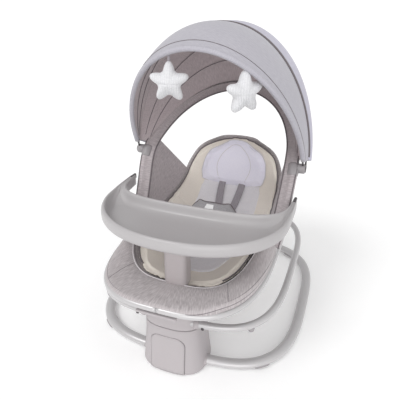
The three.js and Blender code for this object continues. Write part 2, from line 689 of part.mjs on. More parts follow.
function seatHalfWidth(y) {
  const inset = Math.max(0, (RIM.centreY - y) / RIM.halfLength);
  return (RIM.halfWidth - 9) * Math.max(0, 1 - Math.min(0.999, inset) ** RIM.power) ** (1 / RIM.power);
}

// Across the bucket u runs from -1 to 1, and the edge lifts away from the middle line.
function seatSurface(lift) {
  return (u, v) => {
    const middle = seatMiddle.getPointAt(v);
    const across = 2 * u - 1;
    const halfWidth = Math.max(86, seatHalfWidth(middle.y - 3)) - 0.35 * lift;
    const edge = RIM.z + RIM.slope * middle.y - 12;
    const rise = Math.max(6, edge - middle.z) * Math.abs(across) ** 3;
    return vec(halfWidth * across, middle.y, middle.z + rise + lift);
  };
}

function backSurface(lift) {
  return (u, v) => {
    const middle = backMiddle.getPointAt(v);
    const tangent = backMiddle.getTangentAt(v);
    const across = 2 * u - 1;
    const halfWidth = 160 * (1 - Math.max(0, (v - 0.45) / 0.62) ** 2.4 * 0.52);
    const curl = 46 * (1 - 0.45 * v) * Math.abs(across) ** 2.6;
    const inward = vec(0, -tangent.z, tangent.y);
    return vec(halfWidth * across, middle.y, middle.z).addScaledVector(inward, curl + lift);
  };
}

function buildSeat() {
  add('rim_cover', cut(slab(rimSurface, 28, 4, -RIM_THICKNESS), postClearance(1)), MATERIAL.linen);
  add('seat_pan', cut(slab(seatSurface(0), 10, 8, 3), postClearance(1)), MATERIAL.linen);
  add('seat_pad', cut(slab(seatSurface(8.5), 10, 8, 10), postClearance(1)), MATERIAL.pad);
  add('back_panel', slab(backSurface(0), 10, 9, 3), MATERIAL.linen);
  add('back_pad', slab(backSurface(4.5), 10, 9, 12), MATERIAL.pad);
  const pillowFace = backSurface(19.5);
  const pillow = (u, v) => pillowFace(THREE.MathUtils.lerp(0.17, 0.83, u), THREE.MathUtils.lerp(0.52, 0.95, v));
  const pillowLoft = (u, v) => 0.35 + 0.65 * Math.sin(Math.PI * u) * Math.sin(Math.PI * v);
  add('head_pillow', slab(pillow, 10, 6, 14, pillowLoft), MATERIAL.pillow);
}

// Woven side wings between the arch and the edge of the backrest.
function buildGussets() {
  const arch = archCurve();
  for (const [side, sign] of SIDES) {
    const surface = (u, v) => {
      const onArch = arch.getPointAt(THREE.MathUtils.lerp(0.045, 0.215, v));
      const a = vec(sign * (Math.abs(onArch.x) - 15.5), onArch.y + 2, onArch.z);
      const back = backSurface(10)(0, THREE.MathUtils.lerp(0.02, 0.62, v));
      const b = vec(sign * (Math.abs(back.x) + 7), back.y, back.z + 4);
      return a.lerp(b, u);
    };
    add(`side_wing_${side}`, slab(surface, 3, 8, 2.4), MATERIAL.gusset);
  }
}

function buildHarness() {
  const crotch = (u, v) => vec(THREE.MathUtils.lerp(-84, 84, u) * (1 - 0.3 * v * v),
    THREE.MathUtils.lerp(242, 276, v), THREE.MathUtils.lerp(217, 310, v));
  const crotchLoft = (u, v) => 0.5 + 0.5 * Math.sin(Math.PI * u) * Math.sin(Math.PI * v);
  add('crotch_pad', slab(crotch, 6, 5, 12, crotchLoft), MATERIAL.webbing);
  const buckle = prism(roundedRectangle(21, 26, 8), 0, 11);
  const window = prism(roundedRectangle(10.5, 8.5, 3), 5, 20);
  const place = new THREE.Matrix4().makeTranslation(0, 281, 262)
    .multiply(new THREE.Matrix4().makeRotationX(THREE.MathUtils.degToRad(-110)));
  add('harness_buckle', cut(buckle, window).applyMatrix4(place), MATERIAL.dark);
  const button = prism(roundedRectangle(10, 8, 3), 7.5, 12.5);
  add('buckle_button', button.applyMatrix4(place), MATERIAL.rubber);
}

// ---------------------------------------------------------------- tray

// The tray's outline: arms at the sides, a full curve at the front and a nearly straight inner edge.
function trayOutline(inset, innerInset) {
  const { halfWidth, halfLength, centreY, power } = TRAY;
  const armEnd = TRAY_ARM_END - 2 * inset;
  const outer = [];
  const count = 26;
  for (let i = 0; i <= count; i += 1) {
    const angle = -Math.PI / 2 + (Math.PI * i) / count;
    outer.push([
      (halfWidth - inset) * signedPower(Math.sin(angle), 2 / power),
      centreY - (halfLength - inset) * signedPower(Math.cos(angle), 2 / power),
    ]);
  }
  const armInner = halfWidth - 14;
  const inner = innerInset
    ? [[armInner - 8, centreY + 12], [150, TRAY_INNER_Y + 6 - innerInset], [75, TRAY_INNER_Y - innerInset]]
    : [[armInner, armEnd], [armInner - 4, 172], [186, 136], [130, TRAY_INNER_Y + 5], [60, TRAY_INNER_Y]];
  const arms = innerInset ? [] : [[halfWidth - 1, armEnd - 8], [halfWidth - 6, armEnd]];
  const shape = new THREE.Shape();
  shape.moveTo(...outer[0]);
  for (const point of [...outer.slice(1), ...arms, ...inner]) shape.lineTo(...point);
  for (const [x, y] of [...inner].reverse()) shape.lineTo(-x, y);
  for (const [x, y] of [...arms].reverse()) shape.lineTo(-x, y);
  return shape;
}

function buildTray() {
  const body = prism(trayOutline(0, 0), TRAY.bottom, TRAY.top);
  const pocket = prism(trayOutline(TRAY_RIM_WIDTH, TRAY_RIM_WIDTH), TRAY.floor, TRAY.top + 20);
  add('tray', cut(body, pocket), MATERIAL.tray);
  const columnOutline = roundedRectangle(POST.halfWidth, POST.halfDepth, POST.corner);
  const column = prism(columnOutline, POST.bottom, TRAY.bottom - GAP).translate(0, POST.centreY, 0);
  const tongueOutline = roundedRectangle(TONGUE.halfWidth, TONGUE.halfDepth, 5);
  const tongue = prism(tongueOutline, TONGUE.bottom, POST.bottom + 5).translate(0, POST.centreY, 0);
  const hollow = prism(roundedRectangle(POST.halfWidth - 3, POST.halfDepth - 3, POST.corner - 3),
    POST.bottom + 8, TRAY.bottom + 5).translate(0, POST.centreY, 0);
  const buttonHole = new THREE.BoxGeometry(25, 20, 13).translate(0, POST.centreY + POST.halfDepth, 318);
  add('tray_post', cut(join(column, tongue), hollow, buttonHole), MATERIAL.tray);
  const button = new THREE.BoxGeometry(24, 8, 12).translate(0, POST.centreY + POST.halfDepth - 1, 318);
  add('tray_release_button', button, MATERIAL.rubber);
}

// ---------------------------------------------------------------- assembly

const floorTubeHoles = buildFloorLoop();
const carrierHoles = buildCarrier();
buildTower(floorTubeHoles);
buildHub(carrierHoles);
buildDrive();
buildElectronics();
buildRing();
buildArch();
buildCanopyFrame();
buildCanopyCloth();
buildStars();
buildSeat();
buildGussets();
buildHarness();
buildTray();

swingModel.position.y = LENGTH_SHIFT;

export default swingModel;
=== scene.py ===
"""Baby swing: the visible model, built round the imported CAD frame.

Lengths in the helpers are millimetres in the design frame, whose Y runs 240 mm ahead of the row frame.
"""

import math

import bmesh
import bpy
import numpy as np
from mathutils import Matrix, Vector, kdtree


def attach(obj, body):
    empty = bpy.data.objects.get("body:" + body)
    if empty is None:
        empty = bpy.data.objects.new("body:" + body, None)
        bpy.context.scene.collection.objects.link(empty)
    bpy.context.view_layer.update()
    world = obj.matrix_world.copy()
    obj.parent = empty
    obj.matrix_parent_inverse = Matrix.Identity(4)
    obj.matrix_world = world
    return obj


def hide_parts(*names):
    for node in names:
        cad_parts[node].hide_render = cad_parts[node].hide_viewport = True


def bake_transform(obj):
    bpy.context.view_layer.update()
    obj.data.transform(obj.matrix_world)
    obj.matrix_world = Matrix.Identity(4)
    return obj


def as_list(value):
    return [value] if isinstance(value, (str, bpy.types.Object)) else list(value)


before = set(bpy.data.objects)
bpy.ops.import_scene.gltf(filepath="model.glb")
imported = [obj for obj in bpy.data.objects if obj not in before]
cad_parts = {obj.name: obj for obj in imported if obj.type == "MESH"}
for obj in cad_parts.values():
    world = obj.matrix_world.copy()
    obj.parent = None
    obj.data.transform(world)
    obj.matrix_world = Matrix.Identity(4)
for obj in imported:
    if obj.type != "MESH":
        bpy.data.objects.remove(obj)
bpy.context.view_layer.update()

MM = 0.001
LENGTH_SHIFT = -240.0
UP = np.array([0.0, 0.0, 1.0])
SIDES = (("left", -1), ("right", 1))

# ---------------------------------------------------------------- camera, lights and floor

scene = bpy.context.scene
camera = bpy.data.objects.new("camera", bpy.data.cameras.new("camera"))
scene.collection.objects.link(camera)
camera.location = (0.3368, -0.9864, 0.8408)
camera.rotation_mode = "QUATERNION"
camera.rotation_quaternion = Vector((-0.3128, 0.8426, -0.4384)).to_track_quat("-Z", "Y")
camera.data.sensor_width = 36
camera.data.lens = 37.69
camera.data.clip_end = 1000
scene.camera = camera
scene.view_settings.view_transform = "Standard"

world = bpy.data.worlds.new("studio")
scene.world = world
world.use_nodes = True
world.node_tree.nodes["Background"].inputs["Color"].default_value = (1, 1, 1, 1)
world.node_tree.nodes["Background"].inputs["Strength"].default_value = 0.66


def sun(name, direction, strength, spread):
    light = bpy.data.lights.new(name, "SUN")
    light.energy = strength
    light.angle = math.radians(spread)
    obj = bpy.data.objects.new(name, light)
    obj.rotation_mode = "QUATERNION"
    obj.rotation_quaternion = Vector(direction).to_track_quat("-Z", "Y")
    scene.collection.objects.link(obj)


sun("key", (0.42, 0.55, -0.92), 0.85, 25)
sun("front_fill", (-0.28, 0.92, -0.26), 1.25, 55)
sun("side_fill", (-0.8, 0.2, -0.35), 0.15, 60)

# ---------------------------------------------------------------- materials


def linear(colour):
    """An 8-bit screen colour as the linear colour that a shader takes."""
    def channel(value):
        value /= 255
        return value / 12.92 if value <= 0.04045 else ((value + 0.055) / 1.055) ** 2.4

    return (*map(channel, colour), 1)


def shade(colour, factor):
    return tuple(min(1, c * factor) for c in colour[:3]) + (1,)


class Graph:
    """A material's node tree, with short calls for the nodes that the finishes share."""

    def __init__(self, name):
        self.material = bpy.data.materials.new(name)
        self.material.use_nodes = True
        self.nodes = self.material.node_tree.nodes
        self.links = self.material.node_tree.links
        self.shader = self.nodes["Principled BSDF"]

    def node(self, kind, links=None, **values):
        node = self.nodes.new("ShaderNode" + kind)
        for key, value in values.items():
            if hasattr(node, key) and key not in node.inputs:
                setattr(node, key, value)
            else:
                node.inputs[key.replace("_", " ")].default_value = value
        for socket, source in (links or {}).items():
            self.links.new(source, node.inputs[socket])
        return node

    def coordinates(self, kind, scale):
        source = self.node("TexCoord").outputs[kind]
        mapping = self.node("Mapping", {"Vector": source})
        mapping.inputs["Scale"].default_value = scale
        return mapping.outputs["Vector"]

    def noise(self, vector, scale, detail=2.0):
        node = self.node("TexNoise", {"Vector": vector})
        node.inputs["Scale"].default_value = scale
        node.inputs["Detail"].default_value = detail
        return node.outputs["Fac"]

    def ramp(self, factor, low, high, a, b):
        node = self.node("ValToRGB", {"Fac": factor})
        node.color_ramp.elements[0].position = low
        node.color_ramp.elements[0].color = a
        node.color_ramp.elements[1].position = high
        node.color_ramp.elements[1].color = b
        return node.outputs["Color"]

    def mix(self, factor, a, b, blend="MIX"):
        node = self.node("Mix", data_type="RGBA", blend_type=blend)
        for socket, value in ((0, factor), (6, a), (7, b)):
            if isinstance(value, (int, float, tuple)):
                node.inputs[socket].default_value = value
            else:
                self.links.new(value, node.inputs[socket])
        return node.outputs[2]

    def math(self, operation, a, b):
        node = self.node("Math", operation=operation)
        for socket, value in ((0, a), (1, b)):
            if isinstance(value, (int, float)):
                node.inputs[socket].default_value = value
            else:
                self.links.new(value, node.inputs[socket])
        return node.outputs[0]

    def bump(self, height, strength, distance):
        node = self.node("Bump", {"Height": height})
        node.inputs["Strength"].default_value = strength
        node.inputs["Distance"].default_value = distance
        return node.outputs["Normal"]

    def finish(self, colour, roughness, normal=None, **constants):
        for socket, value in (("Base Color", colour), ("Roughness", roughness)):
            if isinstance(value, (int, float, tuple)):
                self.shader.inputs[socket].default_value = value
            else:
                self.links.new(value, self.shader.inputs[socket])
        if normal is not None:
            self.links.new(normal, self.shader.inputs["Normal"])
        for socket, value in constants.items():
            self.shader.inputs[socket.replace("_", " ")].default_value = value
        return self.material


def plastic(name, colour, roughness, grain=1400.0, coat=0.0):
    """Moulded plastic: faint clouding, scuffs and a fine grain."""
    g = Graph(name)
    colour = linear(colour)
    place = g.coordinates("Object", (1, 1, 1))
    cloud = g.noise(place, 7.0, 3.0)
    tint = g.mix(cloud, shade(colour, 0.965), shade(colour, 1.03))
    scuffs = g.ramp(g.noise(place, 46.0, 6.0), 0.62, 0.72, (0, 0, 0, 1), (1, 1, 1, 1))
    tint = g.mix(g.math("MULTIPLY", scuffs, 0.06), tint, shade(colour, 1.25))
    rough = g.math("ADD", g.math("MULTIPLY", g.noise(place, 30.0, 4.0), 0.12), roughness - 0.06)
    return g.finish(tint, rough, g.bump(g.noise(place, grain, 1.0), 0.10, 0.0004), Coat_Weight=coat)


def metal(name, colour, roughness, metallic):
    """Metal drawn along its length."""
    g = Graph(name)
    colour = linear(colour)
    drawn = g.noise(g.coordinates("UV", (900, 12, 1)), 1.0, 3.0)
    place = g.coordinates("Object", (1, 1, 1))
    tint = g.mix(g.noise(place, 9.0, 3.0), shade(colour, 0.95), shade(colour, 1.05))
    rough = g.math("ADD", g.math("MULTIPLY", drawn, 0.10), roughness - 0.05)
    return g.finish(tint, rough, g.bump(drawn, 0.06, 0.0003), Metallic=metallic)


FLECKS = 420  # flecks in a metre of cloth


def fabric(name, colour, accent, coords="UV", slub=(1, 1), contrast=0.5, weave=1.5, bump=0.35, sheen=0.25):
    """Woven melange cloth: two yarn colours in short slubs, a plain weave and soft wrinkles.

    slub stretches the flecks along U or V, and weave is the yarn pitch in millimetres.
    """
    g = Graph(name)
    colour, accent = linear(colour), linear(accent)
    fleck_place = g.coordinates(coords, (FLECKS / slub[0], FLECKS / slub[1], FLECKS))
    flecks = g.noise(fleck_place, 1.0, 4.0)
    fleck = g.ramp(flecks, 0.36, 0.64, (0, 0, 0, 1), (1, 1, 1, 1))
    place = g.coordinates(coords, (1, 1, 1))
    cloud = g.noise(place, 16.0, 3.0)
    tint = g.mix(cloud, shade(colour, 0.95), shade(colour, 1.05))
    tint = g.mix(g.math("MULTIPLY", fleck, contrast), tint, accent)
    pitch = 1000.0 / weave * math.pi
    waves = []
    for scale in ((1, 0, 0), (0, 1, 0)) if coords == "UV" else ((1, 0.4, 0), (0, 0.4, 1)):
        wave = g.node("TexWave", {"Vector": g.coordinates(coords, scale)})
        wave.inputs["Scale"].default_value = pitch / 20
        wave.inputs["Distortion"].default_value = 0.6
        waves.append(wave.outputs["Fac"])
    yarns = g.math("MAXIMUM", waves[0], waves[1])
    tint = g.mix(g.math("MULTIPLY", yarns, 0.16), tint, shade(colour, 0.72), "MULTIPLY")
    fuzz = g.noise(place, 900.0, 2.0)
    height = g.math("ADD", g.math("MULTIPLY", yarns, 0.6), g.math("MULTIPLY", fuzz, 0.5))
    creases = g.bump(g.noise(place, 26.0, 3.0), 0.22, 0.004)
    weave_bump = g.node("Bump", {"Height": height, "Normal": creases})
    weave_bump.inputs["Strength"].default_value = bump
    weave_bump.inputs["Distance"].default_value = 0.0008
    rough = g.math("ADD", g.math("MULTIPLY", fuzz, 0.15), 0.8)
    return g.finish(tint, rough, weave_bump.outputs["Normal"], Sheen_Weight=sheen, Sheen_Roughness=0.5,
                    Specular_IOR_Level=0.25)


SHELL = plastic("shell_plastic", (176, 170, 172), 0.42)
TRAY = plastic("tray_plastic", (176, 173, 174), 0.36, coat=0.12)
POST_PLASTIC = plastic("post_plastic", (184, 177, 178), 0.40)
CLIP = plastic("clip_plastic", (150, 146, 148), 0.35)
DARK = plastic("dark_plastic", (72, 68, 70), 0.45)
RUBBER = plastic("rubber", (158, 154, 156), 0.8, grain=700.0)
TUBE = metal("tube_metal", (196, 194, 195), 0.30, 0.3)
STEEL = metal("steel", (196, 196, 198), 0.28, 0.9)
COPPER = metal("copper", (190, 120, 84), 0.35, 0.9)
BOARD = plastic("board", (60, 107, 74), 0.5)

LINEN = fabric("linen", (200, 194, 195), (160, 152, 154), slub=(7, 1), contrast=0.8)
BAND = fabric("band_linen", (190, 182, 184), (156, 148, 150), slub=(6, 1), contrast=0.75)
WING = fabric("wing_cloth", (194, 186, 188), (160, 152, 155), slub=(1, 5), contrast=0.75)
VISOR = fabric("visor_cloth", (184, 182, 189), (168, 165, 175), slub=(5, 1), contrast=0.55)
REAR = fabric("rear_cloth", (198, 196, 209), (176, 173, 190), slub=(5, 1), contrast=0.55)
LINING = fabric("lining_cloth", (196, 185, 187), (168, 157, 160), slub=(1, 5), contrast=0.65)
BEIGE = fabric("pad_cloth", (244, 237, 227), (228, 221, 211), coords="Object", contrast=0.4)
CENTRE = fabric("centre_cloth", (236, 234, 237), (218, 216, 222), coords="Object", contrast=0.4)
LILAC = fabric("pillow_cloth", (243, 241, 255), (228, 226, 244), coords="Object", contrast=0.35)
GREY = fabric("crotch_cloth", (170, 168, 171), (142, 139, 143), coords="Object", contrast=0.6)
WEBBING = fabric("webbing", (168, 163, 169), (140, 134, 141), slub=(1, 6), weave=2.2, bump=0.6)
PLUSH = fabric("plush", (222, 222, 224), (196, 196, 200), coords="Object", weave=2.4, bump=0.5, sheen=0.6)
PIPING = fabric("dark_piping", (118, 111, 114), (98, 92, 95), coords="Object", contrast=0.4)
PALE_PIPING = fabric("pale_piping", (222, 218, 220), (202, 198, 201), coords="Object", contrast=0.3)
THREAD = fabric("thread", (130, 124, 127), (112, 106, 109), coords="Object", contrast=0.4)
PATCH = fabric("plain_patch", (240, 240, 241), (228, 228, 230), coords="Object", contrast=0.3)

# ---------------------------------------------------------------- curves


def vec(x, y, z):
    return np.array([x, y, z], float)


def vecs(*places):
    return [vec(*p) for p in places]


def unit(v):
    return v / max(1e-12, np.linalg.norm(v))


def signed_power(value, exponent):
    return math.copysign(abs(value) ** exponent, value)


def lerp(a, b, t):
    return a + (b - a) * t


def smooth(low, high, value):
    t = min(1.0, max(0.0, (value - low) / (high - low)))
    return t * t * (3 - 2 * t)


class Spline:
    """A centripetal Catmull-Rom curve through points, read by share of its length."""

    def __init__(self, points, steps=24):
        points = [np.array(p, float) for p in points]
        padded = [2 * points[0] - points[1], *points, 2 * points[-1] - points[-2]]
        line = []
        for p0, p1, p2, p3 in zip(padded, padded[1:], padded[2:], padded[3:]):
            t0 = 0.0
            t1 = t0 + math.sqrt(np.linalg.norm(p1 - p0))
            t2 = t1 + math.sqrt(np.linalg.norm(p2 - p1))
            t3 = t2 + math.sqrt(np.linalg.norm(p3 - p2))
            for k in range(steps):
                t = lerp(t1, t2, k / steps)
                a1 = ((t1 - t) * p0 + (t - t0) * p1) / (t1 - t0)
                a2 = ((t2 - t) * p1 + (t - t1) * p2) / (t2 - t1)
                a3 = ((t3 - t) * p2 + (t - t2) * p3) / (t3 - t2)
                b1 = ((t2 - t) * a1 + (t - t0) * a2) / (t2 - t0)
                b2 = ((t3 - t) * a2 + (t - t1) * a3) / (t3 - t1)
                line.append(((t2 - t) * b1 + (t - t1) * b2) / (t2 - t1))
        line.append(points[-1])
        self.line = np.array(line)
        lengths = np.linalg.norm(np.diff(self.line, axis=0), axis=1)
        self.length = float(lengths.sum())
        self.share = np.concatenate([[0], np.cumsum(lengths)]) / self.length

    def at(self, share):
        return np.array([np.interp(share, self.share, self.line[:, k]) for k in range(3)])

    def tangent(self, share):
        return unit(self.at(min(1, share + 0.004)) - self.at(max(0, share - 0.004)))

    def points(self, count, a=0.0, b=1.0):
        return [self.at(share) for share in np.linspace(a, b, count)]


def loop_point(loop, angle, side=1):
    half_width, half_length, centre_y, power, z = loop
    return vec(side * half_width * signed_power(math.sin(angle), 2 / power),
               centre_y - half_length * signed_power(math.cos(angle), 2 / power), z)


def half_loop(loop, start_x, side, end_gap=0.4):
    start = math.asin((start_x / loop[0]) ** (loop[3] / 2))
    curve = Spline([loop_point(loop, a, side) for a in np.linspace(start, math.pi, 90)], 4)
    return curve, 1 - end_gap / curve.length


# half width, half length, centre Y, power, height
FLOOR_LOOP = (278, 299, 285.5, 3.4, 14)
CARRIER_LOOP = (239, 303, 258, 3.7, 153)
SEAT_RING = (200, 308, 198, 3.2, 228)
FLOOR_SECTION = (11, 14)
CARRIER_SECTION = (9, 9)
RING_RADIUS = 8
FLOOR_WALL_X, CARRIER_WALL_X = 81, 71
STRUT_X, STRUT_RADIUS = 100, 6.5
FLOOR_START, CARRIER_START, RING_START = 62, 46, 0.4

# ---------------------------------------------------------------- meshes

TURNED_SIDES = 28


def place(points):
    points = np.asarray(points, float).copy()
    points[:, 1] += LENGTH_SHIFT
    return points * MM


def link(name, points, faces, material, uvs=None, solid=True):
    mesh = bpy.data.meshes.new(name)
    mesh.from_pydata(place(points).tolist(), [], faces)
    if uvs is not None:
        layer = mesh.uv_layers.new(name="UVMap")
        layer.data.foreach_set("uv", np.asarray(uvs, float).ravel())
    mesh.polygons.foreach_set("use_smooth", [True] * len(mesh.polygons))
    mesh.materials.append(material)
    if solid:
        work = bmesh.new()
        work.from_mesh(mesh)
        bmesh.ops.recalc_face_normals(work, faces=work.faces)
        work.to_mesh(mesh)
        work.free()
    obj = bpy.data.objects.new(name, mesh)
    scene.collection.objects.link(obj)
    return obj


def grid(name, rows, material, wrap=False, caps=False, solid=True):
    """A skin over rows of points. wrap closes each row, caps fill the first and last rows."""
    rows = np.array(rows, float)
    row_count, columns = rows.shape[:2]
    across = np.zeros(columns + 1)
    across[1:columns] = np.cumsum(np.linalg.norm(np.diff(rows, axis=1), axis=2).mean(axis=0))
    across[columns] = across[columns - 1] + np.linalg.norm(rows[:, 0] - rows[:, -1], axis=1).mean()
    along = np.zeros(row_count)
    along[1:] = np.cumsum(np.linalg.norm(np.diff(rows, axis=0), axis=2).mean(axis=1))
    faces, uvs = [], []
    for j in range(row_count - 1):
        for i in range(columns if wrap else columns - 1):
            corners = ((i, j), (i + 1, j), (i + 1, j + 1), (i, j + 1))
            faces.append([b * columns + a % columns for a, b in corners])
            uvs.extend((across[a] * MM, along[b] * MM) for a, b in corners)
    if caps:
        first = list(range(columns))[::-1]
        last = [(row_count - 1) * columns + i for i in range(columns)]
        for face in (first, last):
            faces.append(face)
            uvs.extend((0.0, 0.0) for _ in face)
    return link(name, rows.reshape(-1, 3), faces, material, uvs, solid)


def frames(path, up):
    """Side and other directions at each point of a path. up is a vector, or one for each point."""
    path = np.array(path, float)
    tangents = np.gradient(path, axis=0)
    result = []
    for i, tangent in enumerate(tangents):
        tangent = unit(tangent)
        guide = up[i] if np.ndim(up) == 2 else up
        side = unit(guide - tangent * np.dot(guide, tangent))
        result.append((side, np.cross(tangent, side)))
    return path, result


def sweep(name, path, section, material, up=UP):
    """A section of (side, other) offsets carried along a path; section may be a function of share."""
    path, directions = frames(path, up)
    rows = []
    for i, (point, (side, other)) in enumerate(zip(path, directions)):
        shape = section(i / (len(path) - 1)) if callable(section) else section
        rows.append([point + side * a + other * b for a, b in shape])
    return grid(name, rows, material, wrap=True, caps=True)


def oval(a, b, sides=20):
    turns = [2 * math.pi * i / sides for i in range(sides)]
    return [(a * math.cos(t), b * math.sin(t)) for t in turns]


def guide_for(path):
    """A direction that is never along the path, for round sections."""
    spread = np.ptp(np.array(path), axis=0)
    guide = np.zeros(3)
    guide[int(np.argmin(spread))] = 1
    return guide + 0.013


def pipe(name, path, radius, material, body, replaced=(), sides=10):
    obj = sweep(name, path, oval(radius, radius, sides), material, guide_for(path))
    return settle(obj, body, replaced)


def settle(obj, body, replaced=()):
    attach(obj, body)
    if replaced:
        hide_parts(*replaced)
    return obj


def modifier(obj, kind, **values):
    made = obj.modifiers.new(kind.lower(), kind)
    for key, value in values.items():
        setattr(made, key, value)
    return made


def thicken(obj, thickness, offset=0.0, levels=1):
    modifier(obj, "SOLIDIFY", thickness=thickness * MM, offset=offset)
    if levels:
        modifier(obj, "SUBSURF", levels=levels, render_levels=levels)
    return obj


def turned(name, profile, origin, axis, material):
    """A body turned about an axis from (radius, height) pairs; both ends close on the axis."""
    axis = unit(np.array(axis, float))
    side = unit(np.cross(axis, [0.3, 0.2, 1.0] if abs(axis[2]) < 0.9 else [1.0, 0.1, 0.0]))
    other = np.cross(axis, side)
    turns = np.linspace(0, 2 * math.pi, TURNED_SIDES, endpoint=False)
    spokes = [side * math.cos(t) + other * math.sin(t) for t in turns]
    rows = [[np.array(origin) + axis * h + spoke * max(r, 0.01) for spoke in spokes] for r, h in profile]
    return grid(name, rows, material, wrap=True, caps=True)


def rounded_block(name, centre, size, radius, material):
    work = bmesh.new()
    bmesh.ops.create_cube(work, size=1.0)
    for v in work.verts:
        v.co = place([np.array(centre) + np.array(v.co) * np.array(size)])[0]
    mesh = bpy.data.meshes.new(name)
    work.to_mesh(mesh)
    work.free()
    mesh.polygons.foreach_set("use_smooth", [True] * len(mesh.polygons))
    mesh.materials.append(material)
    obj = bpy.data.objects.new(name, mesh)
    scene.collection.objects.link(obj)
    modifier(obj, "BEVEL", width=radius * MM, segments=4)
    modifier(obj, "WEIGHTED_NORMAL")
    return obj


def rounded_rectangle(half_width, half_depth, corner, steps=7):
    shape = []
    for cx, cy, start in ((1, 1, 0), (-1, 1, 90), (-1, -1, 180), (1, -1, 270)):
        for k in range(steps + 1):
            turn = math.radians(start + 90 * k / steps)
            shape.append((cx * (half_width - corner) + corner * math.cos(turn),
                          cy * (half_depth - corner) + corner * math.sin(turn)))
    return shape

# ---------------------------------------------------------------- motor tower and hub

AXIS_TILT = math.radians(6)
SEAM_Z = 128.0
TOWER_POWER = 2.8
TOWER_CENTRE_Y = -4.0
TOWER_Z = (1, 42, 95, 150, 190)
TOWER_HALF_WIDTH = (84, 79, 74, 72, 71)
TOWER_HALF_DEPTH = (70, 67, 63.5, 62, 61.5)


def tower_point(turn, z, inset=0.0):
    half_width = np.interp(z, TOWER_Z, TOWER_HALF_WIDTH) - inset
    half_depth = np.interp(z, TOWER_Z, TOWER_HALF_DEPTH) - inset
    return vec(half_width * signed_power(math.cos(turn), 2 / TOWER_POWER),
               TOWER_CENTRE_Y + half_depth * signed_power(math.sin(turn), 2 / TOWER_POWER), z)


def seam_height(y, lift):
    return SEAM_Z + lift - y * math.tan(AXIS_TILT)


def tower_rows(levels):
    """Rows round the tower from (height function, inset) pairs; the seam is square to the swing axis."""
    rows = []
    for height, inset in levels:
        row = []
        for turn in np.linspace(0, 2 * math.pi, 112, endpoint=False):
            guess = tower_point(turn, 128, inset)
            row.append(tower_point(turn, height(guess[1]), inset))
        rows.append(row)
    return rows


def level(z):
    return lambda y: z


def below_seam(drop, share=1.0):
    return lambda y: lerp(20.0, seam_height(y, -drop), share)


def build_tower():
    levels = [(level(z), inset) for z, inset in ((3, 60), (1.2, 30), (1, 5), (1.6, 2), (4, 0.4), (9, 0))]
    levels += [(below_seam(0, share), 0) for share in (0.15, 0.35, 0.55, 0.75, 0.9)]
    levels += [(below_seam(2.6), 0), (below_seam(1.3), 0.5), (below_seam(0.9), 1.6), (below_seam(0.9), 12),
               (below_seam(0.9), 58)]
    shell = grid("tower_body", tower_rows(levels), SHELL, wrap=True, caps=True)
    settle(shell, "base", ("tower_shell", "base_plate"))
    # Painted shade: a dark ring set just inside the gap between tower and hub, so that the seam reads dark.
    shade_ring = grid("seam_shade_ring", tower_rows([(below_seam(0.8), 30), (below_seam(0.8), 3), (below_seam(-0.4), 3),
                                         (below_seam(-0.4), 30)]), DARK, wrap=True, caps=True)
    settle(shade_ring, "base", ())

    cover_rows, outline = [], []
    top, corner, half_width = 110.0, 25.0, 44.0
    rounding = top - corner + corner * np.sin(np.linspace(0.12, 1.5, 12))
    heights = np.concatenate([np.linspace(4, 85, 12), rounding])
    for z in heights:
        over = max(0.0, z - (top - corner))
        half = half_width - corner + math.sqrt(max(0.0, corner * corner - over * over))
        row = []
        for share in np.linspace(-1, 1, 29):
            x = half * share
            rim = min(1.0, (1 - abs(share)) * half / 2.2, (top - z) / 2.2, (z - 3.0) / 2.2)
            row.append(front_face(x, z, 0.3 - 1.6 * smooth(0, 1, max(0.0, rim))))
        cover_rows.append(row)
        outline.append((half + 0.6, z))
    cover = grid("front_cover_panel", cover_rows, SHELL, solid=False)
    settle(thicken(cover, 1.2, 1.0, 0), "base", ("front_cover",))
    line = [front_face(-x, z, -0.1) for x, z in outline] + [front_face(x, z, -0.1) for x, z in outline[::-1]]
    pipe("front_cover_seam", line, 0.75, DARK, "base", (), 8)


def front_face(x, z, outward):
    """A point on the tower's front wall; outward is against +Y, so minus values stand proud."""
    half_width = np.interp(z, TOWER_Z, TOWER_HALF_WIDTH)
    half_depth = np.interp(z, TOWER_Z, TOWER_HALF_DEPTH)
    share = (1 - min(1.0, abs(x) / half_width) ** TOWER_POWER) ** (1 / TOWER_POWER)
    return vec(x, TOWER_CENTRE_Y - half_depth * share + outward, z)


def build_hub():
    def above(lift):
        return lambda y: seam_height(y, lift)

    levels = [(above(0.9), 58), (above(0.9), 12), (above(0.9), 1.6), (above(1.3), 0.5), (above(2.8), 0),
              (above(12), 0), (above(26), 0), (level(170), 0), (level(178), 0.6), (level(183), 2.2),
              (level(186.4), 5.2), (level(187.7), 9), (level(188), 14), (level(188), 60)]
    hub = grid("hub_body", tower_rows(levels), SHELL, wrap=True, caps=True)
    settle(hub, "swing", ("hub_shell",))


